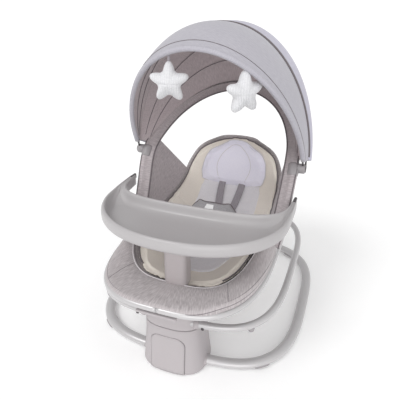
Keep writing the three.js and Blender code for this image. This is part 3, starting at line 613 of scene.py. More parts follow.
def build_tubes():
    bodies = (("floor", FLOOR_LOOP, FLOOR_START, FLOOR_SECTION, "base"),
              ("carrier", CARRIER_LOOP, CARRIER_START, CARRIER_SECTION, "swing"))
    for kind, loop, start_x, section, body in bodies:
        for side, sign in SIDES:
            curve, end = half_loop(loop, start_x, sign)
            tube = sweep(f"{kind}_loop_{side}", curve.points(100, 0, end), oval(*section, 24), TUBE)
            settle(tube, body, (f"{kind}_tube_{side}",))
            socket_at = [abs(p[0]) for p in curve.points(200, 0, 0.2)]
            wall = FLOOR_WALL_X if kind == "floor" else CARRIER_WALL_X
            share = 0.2 * next(i for i, x in enumerate(socket_at) if x > wall) / 199
            grown = (section[0] + 2.6, section[1] + 2.6)
            shape = flared(grown, 1.6)
            collar_line = curve.points(12, share - 9 / curve.length, share + 3.5 / curve.length)
            collar = sweep(f"{kind}_socket_{side}", collar_line, shape, SHELL)
            settle(collar, body, ())
    for side, sign in SIDES:
        ring, end = half_loop(SEAT_RING, RING_START, sign)
        ring_section = oval(RING_RADIUS, RING_RADIUS, 24)
        ring_tube = sweep(f"seat_ring_tube_{side}", ring.points(110, 0, end), ring_section, TUBE)
        settle(ring_tube, "swing", (f"seat_ring_{side}",))
        carrier, _ = half_loop(CARRIER_LOOP, CARRIER_START, sign)
        low = loop_at_x(CARRIER_LOOP, STRUT_X * sign)
        high = loop_at_x(SEAT_RING, STRUT_X * sign)
        strut = Spline([low, lerp(low, high, 0.5) + vec(0, 3, 0), high])
        flare = [1 + 0.28 * (abs(2 * s - 1) ** 6) for s in np.linspace(0, 1, 24)]
        path = strut.points(24, 0.06, 0.94)

        def strut_section(s):
            radius = STRUT_RADIUS * flare[round(s * 23)]
            return oval(radius, radius)

        tube = sweep(f"strut_{side}", path, strut_section, TUBE, vec(1, 0, 0))
        settle(tube, "swing", (f"rear_strut_{side}",))
        clip_at = next(p for p in carrier.points(300, 0, 0.2) if abs(p[0]) > 84)
        clip = rounded_block(f"tube_clip_{side}", clip_at + vec(0, -4, -5), (7, 11, 9), 1.6, DARK)
        settle(clip, "swing", ())
        point = carrier.at(0.17)
        profile = [(0, -17.5), (4.6, -17.5), (6.6, -16.4), (7.4, -14), (8.6, -6), (8.8, -1.5)]
        nub = turned(f"bumper_{side}", profile, point, (0, 0, 1), RUBBER)
        settle(nub, "swing", (f"carrier_bumper_{side}",))
        build_feet(side, sign)


def flared(section, lip):
    """A collar's section that grows from flush to full and rounds off again at its lip."""
    def shape(share):
        grow = lip * (1 - abs(2 * min(1.0, share * 1.15) - 1) ** 4) - lip
        return oval(section[0] + grow, section[1] + grow, 24)

    return shape


def loop_at_x(loop, x):
    half_width, half_length, centre_y, power, z = loop
    share = (1 - (abs(x) / half_width) ** power) ** (1 / power)
    return vec(x, centre_y + half_length * share, z)


FEET = (("front", 0.17), ("rear", 0.78))
FOOT_LENGTH = 36


def build_feet(side, sign):
    curve, _ = half_loop(FLOOR_LOOP, FLOOR_START, sign)
    for name, share in FEET:
        reach = FOOT_LENGTH / 2 / curve.length

        def shape(s):
            grow = 2.4 - 1.6 * abs(2 * s - 1) ** 8
            ring = oval(FLOOR_SECTION[0] + grow + 0.4, FLOOR_SECTION[1] + grow, 28)
            return [(max(a, -13.9) if a < -1 else -1.0, b if a < -1 else b * 0.8) for a, b in ring]

        pad = sweep(f"{name}_pad_{side}", curve.points(22, share - reach, share + reach), shape, RUBBER)
        settle(pad, "base", (f"{name}_foot_{side}",))


build_tower()
build_hub()
build_tubes()

INSIDE = {
    STEEL: ("spindle", "drive_arm", "floor_joiner", "carrier_joiner", "ring_joiner", "base_screw_1",
            "base_screw_2", "base_screw_3", "base_screw_4"),
    DARK: ("bearing_housing", "drive_magnet", "speaker", "dc_inlet", "canopy_bow_front", "canopy_bow_middle",
           "harness_buckle"),
    COPPER: ("lower_bush", "upper_bush", "drive_coil"),
    BOARD: ("control_board",),
    TUBE: ("arch_tube",),
    SHELL: ("ring_saddle",),
    RUBBER: ("buckle_button",),
}
for material, names in INSIDE.items():
    for node_name in names:
        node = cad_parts[node_name]
        node.data.materials.clear()
        node.data.materials.append(material)
for node_name in ("harness_buckle", "buckle_button", "ring_saddle", "dc_inlet"):
    modifier(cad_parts[node_name], "BEVEL", width=0.7 * MM, segments=3, limit_method="ANGLE")

# ---------------------------------------------------------------- tray and its post

TRAY_TOP, TRAY_BOTTOM, TRAY_FLOOR = 378.0, 346.0, 352.5
POST_HALF_WIDTH, POST_HALF_DEPTH, POST_CENTRE_Y = 28, 24, 9
TRAY_HALF = [vec(-238 * signed_power(math.sin(a), 2 / 2.2), 130 - 200 * signed_power(math.cos(a), 2 / 2.2), 0)
             for a in np.linspace(math.pi / 2, 0, 24)]


def mirror(points):
    return [p * vec(-1, 1, 1) for p in points[::-1]]


def tray_edges():
    tip = vecs((-229, 240, 0), (-234, 237, 0), (-236.5, 228, 0), (-237.5, 190, 0))
    left = tip + TRAY_HALF
    outer = Spline(left + mirror(left)[1:], 10)
    inner_left = vecs((-228, 240, 0), (-225.5, 232, 0), (-221, 190, 0), (-209, 157, 0), (-176, 130.5, 0),
                      (-120, 117, 0), (-60, 113, 0), (0, 112.5, 0))
    inner = Spline(inner_left + mirror(inner_left)[1:], 10)
    return outer, inner


def tray_section(width):
    """Closed cross-section from the outer edge to the inner edge: (share of width, height)."""
    depth = smooth(22, 95, width)
    floor = lerp(TRAY_TOP - 2.0, TRAY_FLOOR, depth)
    squeeze = min(1.0, width / 2 / 24)
    side = [(11, TRAY_BOTTOM), (6, 346.6), (2.4, 349.4), (0.5, 354), (0, 360), (0.2, 366), (1.4, 371.5),
            (3.8, 375.6), (7.2, 377.8), (10.2, 377.6), (12.6, 375.4)]
    fall = [(14.2, 0.22), (15.6, 0.45), (17.4, 0.68), (20.0, 0.85), (23.5, 0.95)]
    side += [(d, lerp(375.0, floor, share)) for d, share in fall]
    near = [(d * squeeze / width, z) for d, z in side]
    across = np.linspace(near[-1][0], 1 - near[-1][0], 10)[1:-1]
    dish = [(share, floor - 2.2 * depth * (1 - (2 * share - 1) ** 2)) for share in across]
    bottom = [(share, TRAY_BOTTOM) for share in np.linspace(1 - near[0][0], near[0][0], 8)[1:-1]]
    return near + dish + [(1 - share, z) for share, z in near[::-1]] + bottom


def build_tray():
    outer, inner = tray_edges()
    arm_out, arm_in = 118 / outer.length, 96 / inner.length
    rows = []
    for share in np.linspace(0, 1, 161):
        folded = min(share, 1 - share)
        pair = []
        for curve, arm in ((outer, arm_out), (inner, arm_in)):
            along = np.interp(folded, (0, 0.13, 0.5), (0, arm, 0.5))
            pair.append(curve.at(along if share <= 0.5 else 1 - along))
        a, b = pair
        width = np.linalg.norm(b - a)
        rows.append([vec(*lerp(a, b, t)[:2], z) for t, z in tray_section(width)])
    tray = grid("tray_top", rows, TRAY, wrap=True, caps=True)
    settle(tray, "tray", ("tray",))
    for side, sign in SIDES:
        latch = rounded_block(f"tray_latch_{side}", (sign * 231, 232, 371), (7, 26, 15), 2.5, DARK)
        settle(latch, "tray", ())


def build_post():
    rows = []
    levels = [(165, -8.5), (166, -7), (212, -7), (216.2, -9), (216.4, -5), (218.5, -2.4), (222, -0.8),
              (228, 0), (300, 0), (326, 0.4), (336, 1.6), (342, 4.2), (345.6, 9), (346.6, 12)]
    for z, grow in levels:
        corner = max(5.0, 13 + min(grow, 0))
        outline = rounded_rectangle(POST_HALF_WIDTH + grow, POST_HALF_DEPTH + grow, corner)
        rows.append([vec(x, POST_CENTRE_Y + y, z) for x, y in outline])
    post = grid("tray_column", rows, POST_PLASTIC, wrap=True, caps=True)
    settle(post, "tray", ("tray_post",))
    button = rounded_block("release_button", (0, 32.5, 318), (24, 8, 12), 2.5, RUBBER)
    settle(button, "tray_release", ("tray_release_button",))


build_tray()
build_post()

# ---------------------------------------------------------------- arch and canopy

PIVOT = vec(0, 293, 438)
ARCH_LOWER = vecs((-196, 176, 241), (-203, 205, 290), (-208, 240, 350), (-211, 293, 438))
FRONT_BOW, MIDDLE_BOW, ARCH_BOW = (235, 350, 61), (241, 341, 95), (211, 298, 149)
REAR_EDGE, LINING_EDGE = (222, 307, 147.5), (211, 302, 146)
CLIP_X = 229


def bow_point(bow, t, start=0.0):
    half_width, reach, angle = bow
    distance = start + (reach - start) * math.sin(t)
    turn = math.radians(angle)
    return PIVOT + vec(-half_width * math.cos(t), -distance * math.cos(turn), distance * math.sin(turn))


ARCH_UPPER = [bow_point(ARCH_BOW, math.pi * i / 10) for i in range(1, 10)]
ARCH_LINE = Spline(ARCH_LOWER + ARCH_UPPER + mirror(ARCH_LOWER))


def arch_directions(path):
    """Towards the inside of the arch's opening, for each point of the path."""
    return np.array([unit(vec(0, min(p[1], PIVOT[1]), min(p[2], PIVOT[2])) - p) for p in path])


def arch_offset(share, inward, forward):
    point, tangent = ARCH_LINE.at(share), ARCH_LINE.tangent(share)
    guide = arch_directions([point])[0]
    side = unit(guide - tangent * np.dot(guide, tangent))
    return point + side * inward + np.cross(tangent, side) * forward


def sleeve_section(share):
    radius = 14.6 - 1.5 * abs(2 * share - 1) ** 6
    return oval(radius, radius, 24)


def build_arch():
    shares = np.linspace(0.012, 0.988, 150)
    path = [ARCH_LINE.at(s) for s in shares]
    section = [(-12.6 * math.cos(t), 12.0 * math.sin(t)) for t in np.linspace(-1.9, 1.9, 20)]
    flap = [(9, 7.0), (14, 4.4), (19, 2.6), (22, 1.6)]
    section += flap + [(22.6, 0)] + [(inward, -forward) for inward, forward in flap[::-1]]
    band = sweep("arch_band", path, section, BAND, arch_directions(path))
    modifier(band, "SUBSURF", levels=1, render_levels=1)
    settle(band, "swing", ("arch_cover",))
    pipe("arch_hem_piping", [arch_offset(s, 23.5, 0) for s in shares], 2.3, PIPING, "swing", ())
    for sign in (-1, 1):
        line = [arch_offset(s, -9.5, sign * 9.4) for s in shares]
        pipe(f"arch_seam_{'front' if sign < 0 else 'back'}", line, 1.5, PIPING, "swing", (), 8)
    for side, sign in SIDES:
        profile = [(0, -9), (9.5, -9), (12.2, -7.6), (12.8, -4), (12.8, 9), (12, 11.4), (9.8, 12.6),
                   (7.6, 12.4), (7.2, 11.2), (0, 10.9)]
        hub = turned(f"canopy_hub_{side}", profile, PIVOT + vec(sign * CLIP_X, 0, 0), (sign, 0, 0), CLIP)
        settle(hub, "swing", (f"canopy_clip_{side}",))
        arm = ARCH_LINE.points(12, *sorted(abs((1 if sign > 0 else 0) - s) for s in (0.164, 0.189)))
        sleeve = sweep(f"clip_sleeve_{side}", arm, sleeve_section, CLIP)
        settle(sleeve, "swing", ())


REAR_SWELL, SIDEWAYS_SHARE = 0.120, 0.55
PLEAT_REACH = 340


def rear_swell(v):
    """The rear panel stands out over a sewn ridge between the middle bow and the arch."""
    rise = smooth(0.0, 0.46, v) if v < 0.46 else 1 - smooth(0.40, 1.0, v)
    return REAR_SWELL * rise


def canopy_surface(first, second, standoff, swell=0.008, pleats=(), profile=None):
    """u runs across from left to right, v from the first bow to the second."""
    def surface(u, v):
        arc = math.sin(math.pi * u)
        bulge = 1 + swell * math.sin(math.pi * v) * arc + (profile(v) * arc ** 0.35 if profile else 0)
        wide = 1 + (SIDEWAYS_SHARE * profile(v) if profile else 0)
        for centre, width, depth in pleats:
            bulge += depth / PLEAT_REACH * math.exp(-(((v - centre) / width) ** 2)) * arc ** 0.5
        half_width, bow_reach, angle = lerp(np.array(first), np.array(second), v)
        bow = ((half_width + standoff) * wide, (bow_reach + standoff) * bulge, angle)
        return bow_point(bow, lerp(0.022, 0.978, u) * math.pi)

    return surface


def join_bows(cloth, bodies, ends):
    """Bakes the canopy cloth's placement into its mesh; it does not turn with the bows."""
    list(bodies)
    [tuple(place([end])[0]) for end in ends]
    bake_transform(cloth)


def stretch(sheet, rows, rests, **more):
    """Reads rests into a list and does nothing more. The sheet and its rows are not used."""
    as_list(rests)


def canopy_sheet(name, surface, material, bodies, ends, rests, thickness=1.4, replaced=()):
    points = [[surface(u, v) for u in np.linspace(0, 1, 72)] for v in np.linspace(0, 1, 26)]
    sheet = grid(name, points, material, solid=False)
    thicken(sheet, thickness, 0.0, 1)
    join_bows(sheet, bodies, ends)
    if replaced:
        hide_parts(*replaced)
    stretch(sheet, points, rests, with_pieces=[])


def bow_line(bow, standoff, turn):
    shifted = (bow[0] + standoff, bow[1] + standoff, bow[2] + turn)
    return [bow_point(shifted, t * math.pi) for t in np.linspace(0.03, 0.97, 90)]


def build_canopy():
    visor_pleats = ((0.5, 0.2, 1.5),)
    front_top, middle_top = bow_point(FRONT_BOW, math.pi / 2), bow_point(MIDDLE_BOW, math.pi / 2)
    arch_top = bow_point(ARCH_BOW, math.pi / 2)
    front_ends = (middle_top, front_top)
    rear_ends = (arch_top, middle_top)
    edge = (FRONT_BOW[0], FRONT_BOW[1], FRONT_BOW[2] - 1.0)
    front_bodies, rear_bodies = ("canopy_middle", "canopy_front"), ("swing", "canopy_middle")
    front_rests, rear_rests = ["canopy_bow_front", "canopy_bow_middle"], ["canopy_bow_middle", "arch_band"]
    visor = canopy_surface(edge, MIDDLE_BOW, 5.0, 0.010, visor_pleats)
    canopy_sheet("canopy_visor_cloth", visor, VISOR, front_bodies, front_ends, front_rests,
                 replaced=("canopy_visor",))
    ridge = ((0.44, 0.028, 4.0), (0.52, 0.03, -2.5))
    rear = canopy_surface(MIDDLE_BOW, REAR_EDGE, 5.0, 0.010, ridge, rear_swell)
    canopy_sheet("canopy_rear_cloth", rear, REAR, rear_bodies, rear_ends, rear_rests,
                 replaced=("canopy_rear_panel",))
    pleats = ((0.34, 0.022, -5.0), (0.68, 0.022, -5.0))
    canopy_sheet("lining_front", canopy_surface(edge, MIDDLE_BOW, -3.6, 0.006, pleats), LINING,
                 front_bodies, front_ends, front_rests, 1.0)
    canopy_sheet("lining_rear", canopy_surface(MIDDLE_BOW, LINING_EDGE, -3.6, 0.004, pleats), LINING,
                 rear_bodies, rear_ends, rear_rests, 1.0)
    front_panel = (edge, MIDDLE_BOW, front_bodies, front_ends)
    rear_panel = (MIDDLE_BOW, LINING_EDGE, rear_bodies, rear_ends)
    seams = (("front_low", 0.34, front_panel), ("front_high", 0.68, front_panel),
             ("rear_high", 0.34, rear_panel), ("rear_low", 0.68, rear_panel))
    for name, v, (first, second, bodies, ends) in seams:
        surface = canopy_surface(first, second, -5.0, 0.006, pleats)
        line = [surface(u, v) for u in np.linspace(0.02, 0.98, 80)]
        seam = sweep(f"lining_seam_{name}", line, oval(0.9, 0.9, 8), THREAD, vec(0.013, 0.6, 0.8))
        join_bows(seam, bodies, ends)
    fold = [(-3.8, -5.4), (0, -6.2), (3.4, -5.4), (4.8, -2), (5.2, 2), (4.6, 5.2), (2, 5.6), (-2, 5.6),
            (-4.4, 5.0), (-5.0, 0)]
    hem = sweep("visor_hem", bow_line(edge, 0.8, -0.2), fold, VISOR, vec(0, 0.5, 0.87))
    settle(hem, "canopy_front", ())
    pipe("visor_hem_seam", bow_line(FRONT_BOW, 6.4, 2.6), 0.7, THREAD, "canopy_front", (), 8)
    # The front line is the bow's dark piping. The rear line is painted shade: a dark cord where the bow
    # pocket casts its shadow.
    for name, turn in (("front", -0.75), ("rear", 0.75)):
        pipe(f"middle_piping_and_shade_{name}", bow_line(MIDDLE_BOW, 7.2, turn), 2.2, PIPING, "canopy_middle", ())


build_arch()
build_canopy()

# ---------------------------------------------------------------- soft tools

CLOTH_FRAMES = 20
PAD_PRESSURE = 4.0
PAD_EDGE = 0.45  # a pad's thickness along its border, as a share of the middle


def quilt(name, surface, material, thickness, columns, rows):
    """A closed pad over surface(u, v, lift): crowned in the middle and thinner along its edges."""
    top, bottom = [], []
    for v in np.linspace(0, 1, rows):
        top_row, bottom_row = [], []
        for u in np.linspace(0, 1, columns):
            crown = (min(1.0, 7 * min(u, 1 - u)) * min(1.0, 7 * min(v, 1 - v))) ** 0.6
            top_row.append(surface(u, v, thickness * lerp(PAD_EDGE, 1, crown)))
            bottom_row.append(surface(u, v, 0.0))
        top.append(top_row)
        bottom.append(bottom_row)
    points = np.concatenate([np.array(top).reshape(-1, 3), np.array(bottom).reshape(-1, 3)])
    offset = columns * rows
    faces = []
    for j in range(rows - 1):
        for i in range(columns - 1):
            a = j * columns + i
            faces.append((a, a + 1, a + columns + 1, a + columns))
            faces.append((a + offset, a + columns + offset, a + columns + 1 + offset, a + 1 + offset))
    border = list(range(columns)) + [j * columns + columns - 1 for j in range(1, rows)]
    border += [(rows - 1) * columns + i for i in range(columns - 2, -1, -1)]
    border += [j * columns for j in range(rows - 2, 0, -1)]
    for a, b in zip(border, border[1:] + border[:1]):
        faces.append((b, a, a + offset, b + offset))
    return link(name, points, faces, material)


def evaluated_points(obj):
    shown = obj.evaluated_get(bpy.context.evaluated_depsgraph_get())
    mesh = shown.to_mesh()
    points = np.zeros(len(mesh.vertices) * 3, np.float32)
    mesh.vertices.foreach_get("co", points)
    shown.to_mesh_clear()
    return points.reshape(-1, 3).astype(float)


def apply_modifiers(obj):
    mesh = bpy.data.meshes.new_from_object(obj.evaluated_get(bpy.context.evaluated_depsgraph_get()))
    obj.modifiers.clear()
    old = obj.data
    obj.data = mesh
    bpy.data.meshes.remove(old)


def puff(obj, voxel, cap):
    """Inflates a closed pad with the cloth solver; no point moves further than cap."""
    modifier(obj, "REMESH", mode="VOXEL", voxel_size=voxel * MM, use_smooth_shade=True)
    apply_modifiers(obj)
    start = evaluated_points(obj)
    cloth = modifier(obj, "CLOTH")
    cloth.settings.quality = 4
    cloth.settings.use_pressure = True
    cloth.settings.uniform_pressure_force = PAD_PRESSURE
    cloth.settings.effector_weights.gravity = 0
    cloth.collision_settings.use_collision = False
    cloth.point_cache.frame_start = 1
    cloth.point_cache.frame_end = CLOTH_FRAMES
    for number in range(1, CLOTH_FRAMES + 1):
        scene.frame_set(number)
    end = evaluated_points(obj)
    obj.modifiers.clear()
    moves = end - start
    lengths = np.linalg.norm(moves, axis=1, keepdims=True)
    moves *= np.minimum(1.0, cap * MM / np.maximum(lengths, 1e-9))
    obj.data.vertices.foreach_set("co", (start + moves).ravel())
    obj.data.update()
    scene.frame_set(1)
    modifier(obj, "SUBSURF", levels=1, render_levels=1)
    apply_modifiers(obj)


def sew(obj, lines, width, depth):
    """Pulls the surface in along sewn lines of points."""
    points = place([p for line in lines for p in line])
    tree = kdtree.KDTree(len(points))
    for i, point in enumerate(points):
        tree.insert(point, i)
    tree.balance()
    count = len(obj.data.vertices)
    coords, normals = np.zeros(count * 3, np.float32), np.zeros(count * 3, np.float32)
    obj.data.vertices.foreach_get("co", coords)
    obj.data.vertex_normals.foreach_get("vector", normals)
    coords, normals = coords.reshape(-1, 3), normals.reshape(-1, 3)
    for i, point in enumerate(coords):
        distance = tree.find(point)[2] / MM
        if distance < 3 * width:
            coords[i] -= normals[i] * depth * MM * math.exp(-((distance / width) ** 2))
    obj.data.vertices.foreach_set("co", coords.ravel())
    obj.data.update()


def snug(obj, line, lift):
    """The line laid on the pad's surface, standing proud of it by lift."""
    laid = []
    for point in place(line):
        found, hit, normal, _ = obj.closest_point_on_mesh(Vector(point))
        if found:
            laid.append(np.array(hit) + np.array(normal) * lift * MM)
    laid = np.array(laid)
    for _ in range(2):
        laid[1:-1] = (laid[:-2] + 2 * laid[1:-1] + laid[2:]) / 4
    laid /= MM
    laid[:, 1] -= LENGTH_SHIFT
    return laid


def cushion_details(obj, body, replaced=()):
    return settle(obj, body, replaced)


def recline(obj, replaced=()):
    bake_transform(obj)
    if replaced:
        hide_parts(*replaced)
    return obj


# ---------------------------------------------------------------- seat bucket

BUCKET_MIDDLE = vecs((0, 9, 208), (0, 50, 193), (0, 120, 178), (0, 210, 170), (0, 300, 171), (0, 342, 179),
                     (0, 400, 206), (0, 460, 256), (0, 505, 320), (0, 532, 385), (0, 547, 430))
BUCKET_EDGE = vecs((88, 6, 226), (134, 50, 246), (157, 120, 270), (165, 205, 283), (166, 285, 284),
                   (165, 330, 290), (162, 380, 296), (159, 436, 312), (150, 474, 352), (122, 500, 394),
                   (64, 517, 420))
MIDDLE_LINE, EDGE_LINE = Spline(BUCKET_MIDDLE), Spline(BUCKET_EDGE)


def knot_shares(curve, knots):
    return [float(curve.share[int(np.argmin(np.linalg.norm(curve.line - k, axis=1)))]) for k in knots]


MIDDLE_SHARES, EDGE_SHARES = knot_shares(MIDDLE_LINE, BUCKET_MIDDLE), knot_shares(EDGE_LINE, BUCKET_EDGE)


def edge_share(v):
    return float(np.interp(v, MIDDLE_SHARES, EDGE_SHARES))


def bucket_raw(u, v):
    across = 2 * u - 1
    middle, edge = MIDDLE_LINE.at(v), EDGE_LINE.at(edge_share(v))
    share = abs(across)
    rise = share ** 2.6
    return vec(edge[0] * across, lerp(middle[1], edge[1], rise), lerp(middle[2], edge[2], rise))


def bucket(u, v, lift=0.0):
    u, v = min(0.999, max(0.001, u)), min(0.999, max(0.001, v))
    point = bucket_raw(u, v)
    along_u = bucket_raw(min(1, u + 0.01), v) - bucket_raw(max(0, u - 0.01), v)
    along_v = bucket_raw(u, min(1, v + 0.01)) - bucket_raw(u, max(0, v - 0.01))
    return point + unit(np.cross(along_u, along_v)) * lift


def on_bucket(points, lift):
    return [bucket(u, v, lift) for u, v in points]


def build_bucket():
    shell_rows = [[bucket(u, v, -6.0) for u in np.linspace(0.0, 1.0, 45)] for v in np.linspace(0.0, 1.0, 60)]
    shell = grid("seat_sling", shell_rows, LINEN, solid=False)
    thicken(shell, 2.2, 0.0, 1)
    recline(shell, ("seat_pan", "back_panel"))
    stretch(shell, shell_rows, ["seat_ring_tube_left", "seat_ring_tube_right"])

    def insert_surface(u, v, lift):
        return bucket(lerp(0.012, 0.988, u), lerp(0.01, 0.992, v), lift - 1.0)

    insert = quilt("seat_insert", insert_surface, BEIGE, 13.0, 48, 64)
    puff(insert, 5.0, 5.0)
    crease = [[(u, 0.53) for u in np.linspace(0.06, 0.94, 60)]]
    sew(insert, [on_bucket(line, 11.0) for line in crease], 6.0, 3.0)
    recline(insert, ("seat_pad", "back_pad"))

    border = [(0.012, v) for v in np.linspace(0.03, 0.985, 110)]
    border += [(u, 0.99) for u in np.linspace(0.05, 0.95, 50)]
    border += [(0.988, v) for v in np.linspace(0.985, 0.03, 110)]
    line = snug(insert, smooth_line(on_bucket(border, 5.0), 10), 1.0)
    recline(cord("insert_piping", line, 2.0, PIPING), ())

    def centre(u, v, lift):
        taper = 0.10 * smooth(0.80, 1.0, v) + 0.04 * smooth(0.15, 0.0, v)
        half = 0.305 + 0.05 * math.sin(math.pi * v) - taper
        return bucket(0.5 + half * (2 * u - 1), lerp(0.10, 0.93, v), lift + 9.0)

    pad = quilt("centre_pad", centre, CENTRE, 9.0, 36, 60)
    puff(pad, 4.5, 4.5)
    folds = [[(u, v) for u in np.linspace(0.25, 0.75, 40)] for v in (0.30, 0.38, 0.46, 0.60, 0.66)]
    sew(pad, [on_bucket(fold, 19.0) for fold in folds], 5.0, 2.6)
    recline(pad, ())
    rim = [centre(0.0, v, 4.5) for v in np.linspace(0.02, 0.98, 80)]
    rim += [centre(u, 1.0, 4.5) for u in np.linspace(0.04, 0.96, 30)]
    rim += [centre(1.0, v, 4.5) for v in np.linspace(0.98, 0.02, 80)]
    recline(cord("centre_piping", snug(pad, smooth_line(rim, 3), 0.8), 1.9, PALE_PIPING), ())


def cord(name, line, radius, material):
    """Piping sewn along a pad's border."""
    return sweep(name, line, oval(radius, radius, 10), material, (0.1, -0.7, 0.7))


def smooth_line(line, passes):
    line = np.array(line, float)
    for _ in range(passes):
        line[1:-1] = (line[:-2] + 2 * line[1:-1] + line[2:]) / 4
    return line


PILLOW_SPAN, PILLOW_TOP, PILLOW_HALF_WIDTH = (0.735, 0.985), 0.985, 118


def pillow_surface(u, v, lift):
    """A D: a straight lower edge, full sides and a round top."""
    along = lerp(*PILLOW_SPAN, v)
    edge = EDGE_LINE.at(edge_share(along))[0]
    round_top = (1 - max(0.0, (v - 0.2) / 0.82) ** 2.6) ** 0.45
    half = min(PILLOW_HALF_WIDTH * round_top * lerp(0.94, 1.0, smooth(0.0, 0.2, v)), 0.96 * edge)
    return bucket(0.5 + half / (2 * edge) * (2 * u - 1), along, lift + 14.0)


def build_pillow():
    def surface(u, v, lift):
        return pillow_surface(u, PILLOW_TOP * v, lift)

    pillow = quilt("head_pillow_cushion", surface, LILAC, 19.0, 44, 36)
    puff(pillow, 4.5, 6.0)
    half = [(0.30, 0.10), (0.235, 0.38), (0.27, 0.66), (0.40, 0.83)]
    horseshoe = half + [(0.5, 0.86)] + [(1 - u, v) for u, v in half[::-1]]
    curve = Spline([vec(u, v, 0) for u, v in horseshoe])
    line = [pillow_surface(p[0], p[1], 20.0) for p in curve.points(90)]
    sew(pillow, [line], 4.2, 3.0)
    cushion_details(pillow, "backrest", ("head_pillow",))
    seam = sweep("pillow_seam", snug(pillow, line, 0.3), oval(0.9, 0.9, 8), PALE_PIPING, (0, -0.7, 0.7))
    settle(seam, "backrest", ())
    border = [pillow_surface(u, 0.0, 7.0) for u in np.linspace(0.02, 0.98, 40)]
    border += [pillow_surface(1.0, v, 7.0) for v in np.linspace(0.03, 0.97, 50)]
    border += [pillow_surface(u, PILLOW_TOP, 7.0) for u in np.linspace(0.9, 0.1, 14)]
    border += [pillow_surface(0.0, v, 7.0) for v in np.linspace(0.97, 0.03, 50)]
    piping = cord("pillow_piping", snug(pillow, smooth_line(border, 3), 0.8), 1.8, PALE_PIPING)
    settle(piping, "backrest", ())


STRAP_SECTION = [(-0.9, -11), (0.9, -11), (1.2, -9), (1.0, 0), (1.2, 9), (0.9, 11), (-0.9, 11), (-0.9, 0)]


def build_harness():
    def crotch(u, v, lift):
        half = lerp(86, 66, smooth(0.1, 1.0, v)) * (1 - 0.28 * smooth(0.72, 1.0, v) ** 2)
        bend = vec(0, -0.94, 0.34) * lift
        bow = 14 * (2 * u - 1) ** 2
        return vec(half * (2 * u - 1), lerp(236, 276, v) + bow, lerp(194, 312, v) - bow * 0.4) + bend

    pad = quilt("crotch_cushion", crotch, GREY, 12.0, 40, 30)
    puff(pad, 4.0, 4.0)
    line = [crotch(u, v, 12.0) for u, v in frame_line(0.12, 0.10)]
    sew(pad, [line], 3.0, 2.0)
    cushion_details(pad, "swing", ("crotch_pad",))
    edge = [crotch(u, v, 5.0) for u, v in frame_line(0.0, 0.0)]
    line = snug(pad, smooth_line(edge, 2), 0.8)
    piping = sweep("crotch_piping", line, oval(2.1, 2.1, 10), PIPING, (0, -0.9, 0.4))
    settle(piping, "swing", ())
    label = [[snug(pad, [crotch(u, v, 16.0)], 1.0)[0] for u in np.linspace(0.34, 0.54, 14)]
             for v in np.linspace(0.80, 0.94, 10)]
    patch = grid("plain_label", label, PATCH, solid=False)
    settle(thicken(patch, 0.8, 1.0, 0), "swing", ())

    for side, places in (("left", [(0.40, 0.80), (0.385, 0.72), (0.40, 0.64), (0.43, 0.58)]),
                         ("right", [(0.63, 0.80), (0.62, 0.72), (0.585, 0.64), (0.555, 0.58)])):
        path = list(snug(bpy.data.objects["centre_pad"], on_bucket(places, 21.5), 2.2))
        x_end = -20 if side == "left" else 20
        path = Spline(path + [vec(x_end, 312, 262), vec(x_end * 0.9, 290, 268)]).points(60)
        ups = [bucket_normal(p) for p in path]
        strap = sweep(f"shoulder_strap_{side}", path, STRAP_SECTION, WEBBING, np.array(ups))
        recline(strap, ())


def bucket_normal(point):
    return unit(vec(0, 260 - point[1], 520 - point[2]))


def frame_line(inset, top_inset):
    """A closed border walked over the unit square, open along the bottom."""
    side_v = np.linspace(0.02, 1 - top_inset, 40)
    line = [(inset, v) for v in side_v]
    line += [(u, 1 - top_inset) for u in np.linspace(inset + 0.04, 1 - inset - 0.04, 30)]
    return line + [(1 - inset, v) for v in side_v[::-1]]


build_bucket()
build_pillow()
build_harness()

# ---------------------------------------------------------------- padded rim, wings and skirts

RIM_INNER_ANGLE, RING_ANGLE = 1.15, 1.56
RIM_CURVE = (172, 327, 322, 3.5, 0)
RIM_FRONT_Y, RIM_FRONT_Z, RIM_SLOPE = -5, 224, 0.43


def rim_inner_line():
    front = []
    for angle in np.linspace(-RIM_INNER_ANGLE, RIM_INNER_ANGLE, 41):
        point = loop_point(RIM_CURVE, abs(angle), 1 if angle > 0 else -1)
        front.append(vec(point[0], point[1], RIM_FRONT_Z + RIM_SLOPE * (point[1] - RIM_FRONT_Y)))
    rear = vecs((174, 160, 291), (180, 188, 296))
    return Spline(mirror(rear) + front + rear, 8)


RIM_INNER = rim_inner_line()


def rim_profile(s):
    """The rim's outer skin from its hem, over the ring, to the inner edge."""
    angle = lerp(-RING_ANGLE, RING_ANGLE, s)
    ring = loop_point(SEAT_RING, abs(angle), 1 if angle > 0 else -1)
    inner = RIM_INNER.at(s)
    half_width, half_length, centre_y = SEAT_RING[:3]
    ahead = min(0.0, ring[1] - centre_y)
    outward = unit(vec(ring[0] / half_width ** 2, ahead / half_length ** 2 * 2.2, 0))
    loose = 1 - smooth(0.54, 0.70, s)
    reach, drop = lerp(1.5, 3.5, loose), lerp(8.5, -7.5, loose)
    hem = ring + outward * reach + UP * drop
    shoulder = ring + outward * (reach + 0.5 - 3 * loose) + UP * (drop + 17)
    chord = inner - shoulder
    normal = unit(np.cross(np.cross(chord, UP), chord))
    crown = [lerp(shoulder, inner, share) + normal * 4.5 for share in (0.33, 0.7)]
    return Spline([hem, shoulder, *crown, inner], 12)


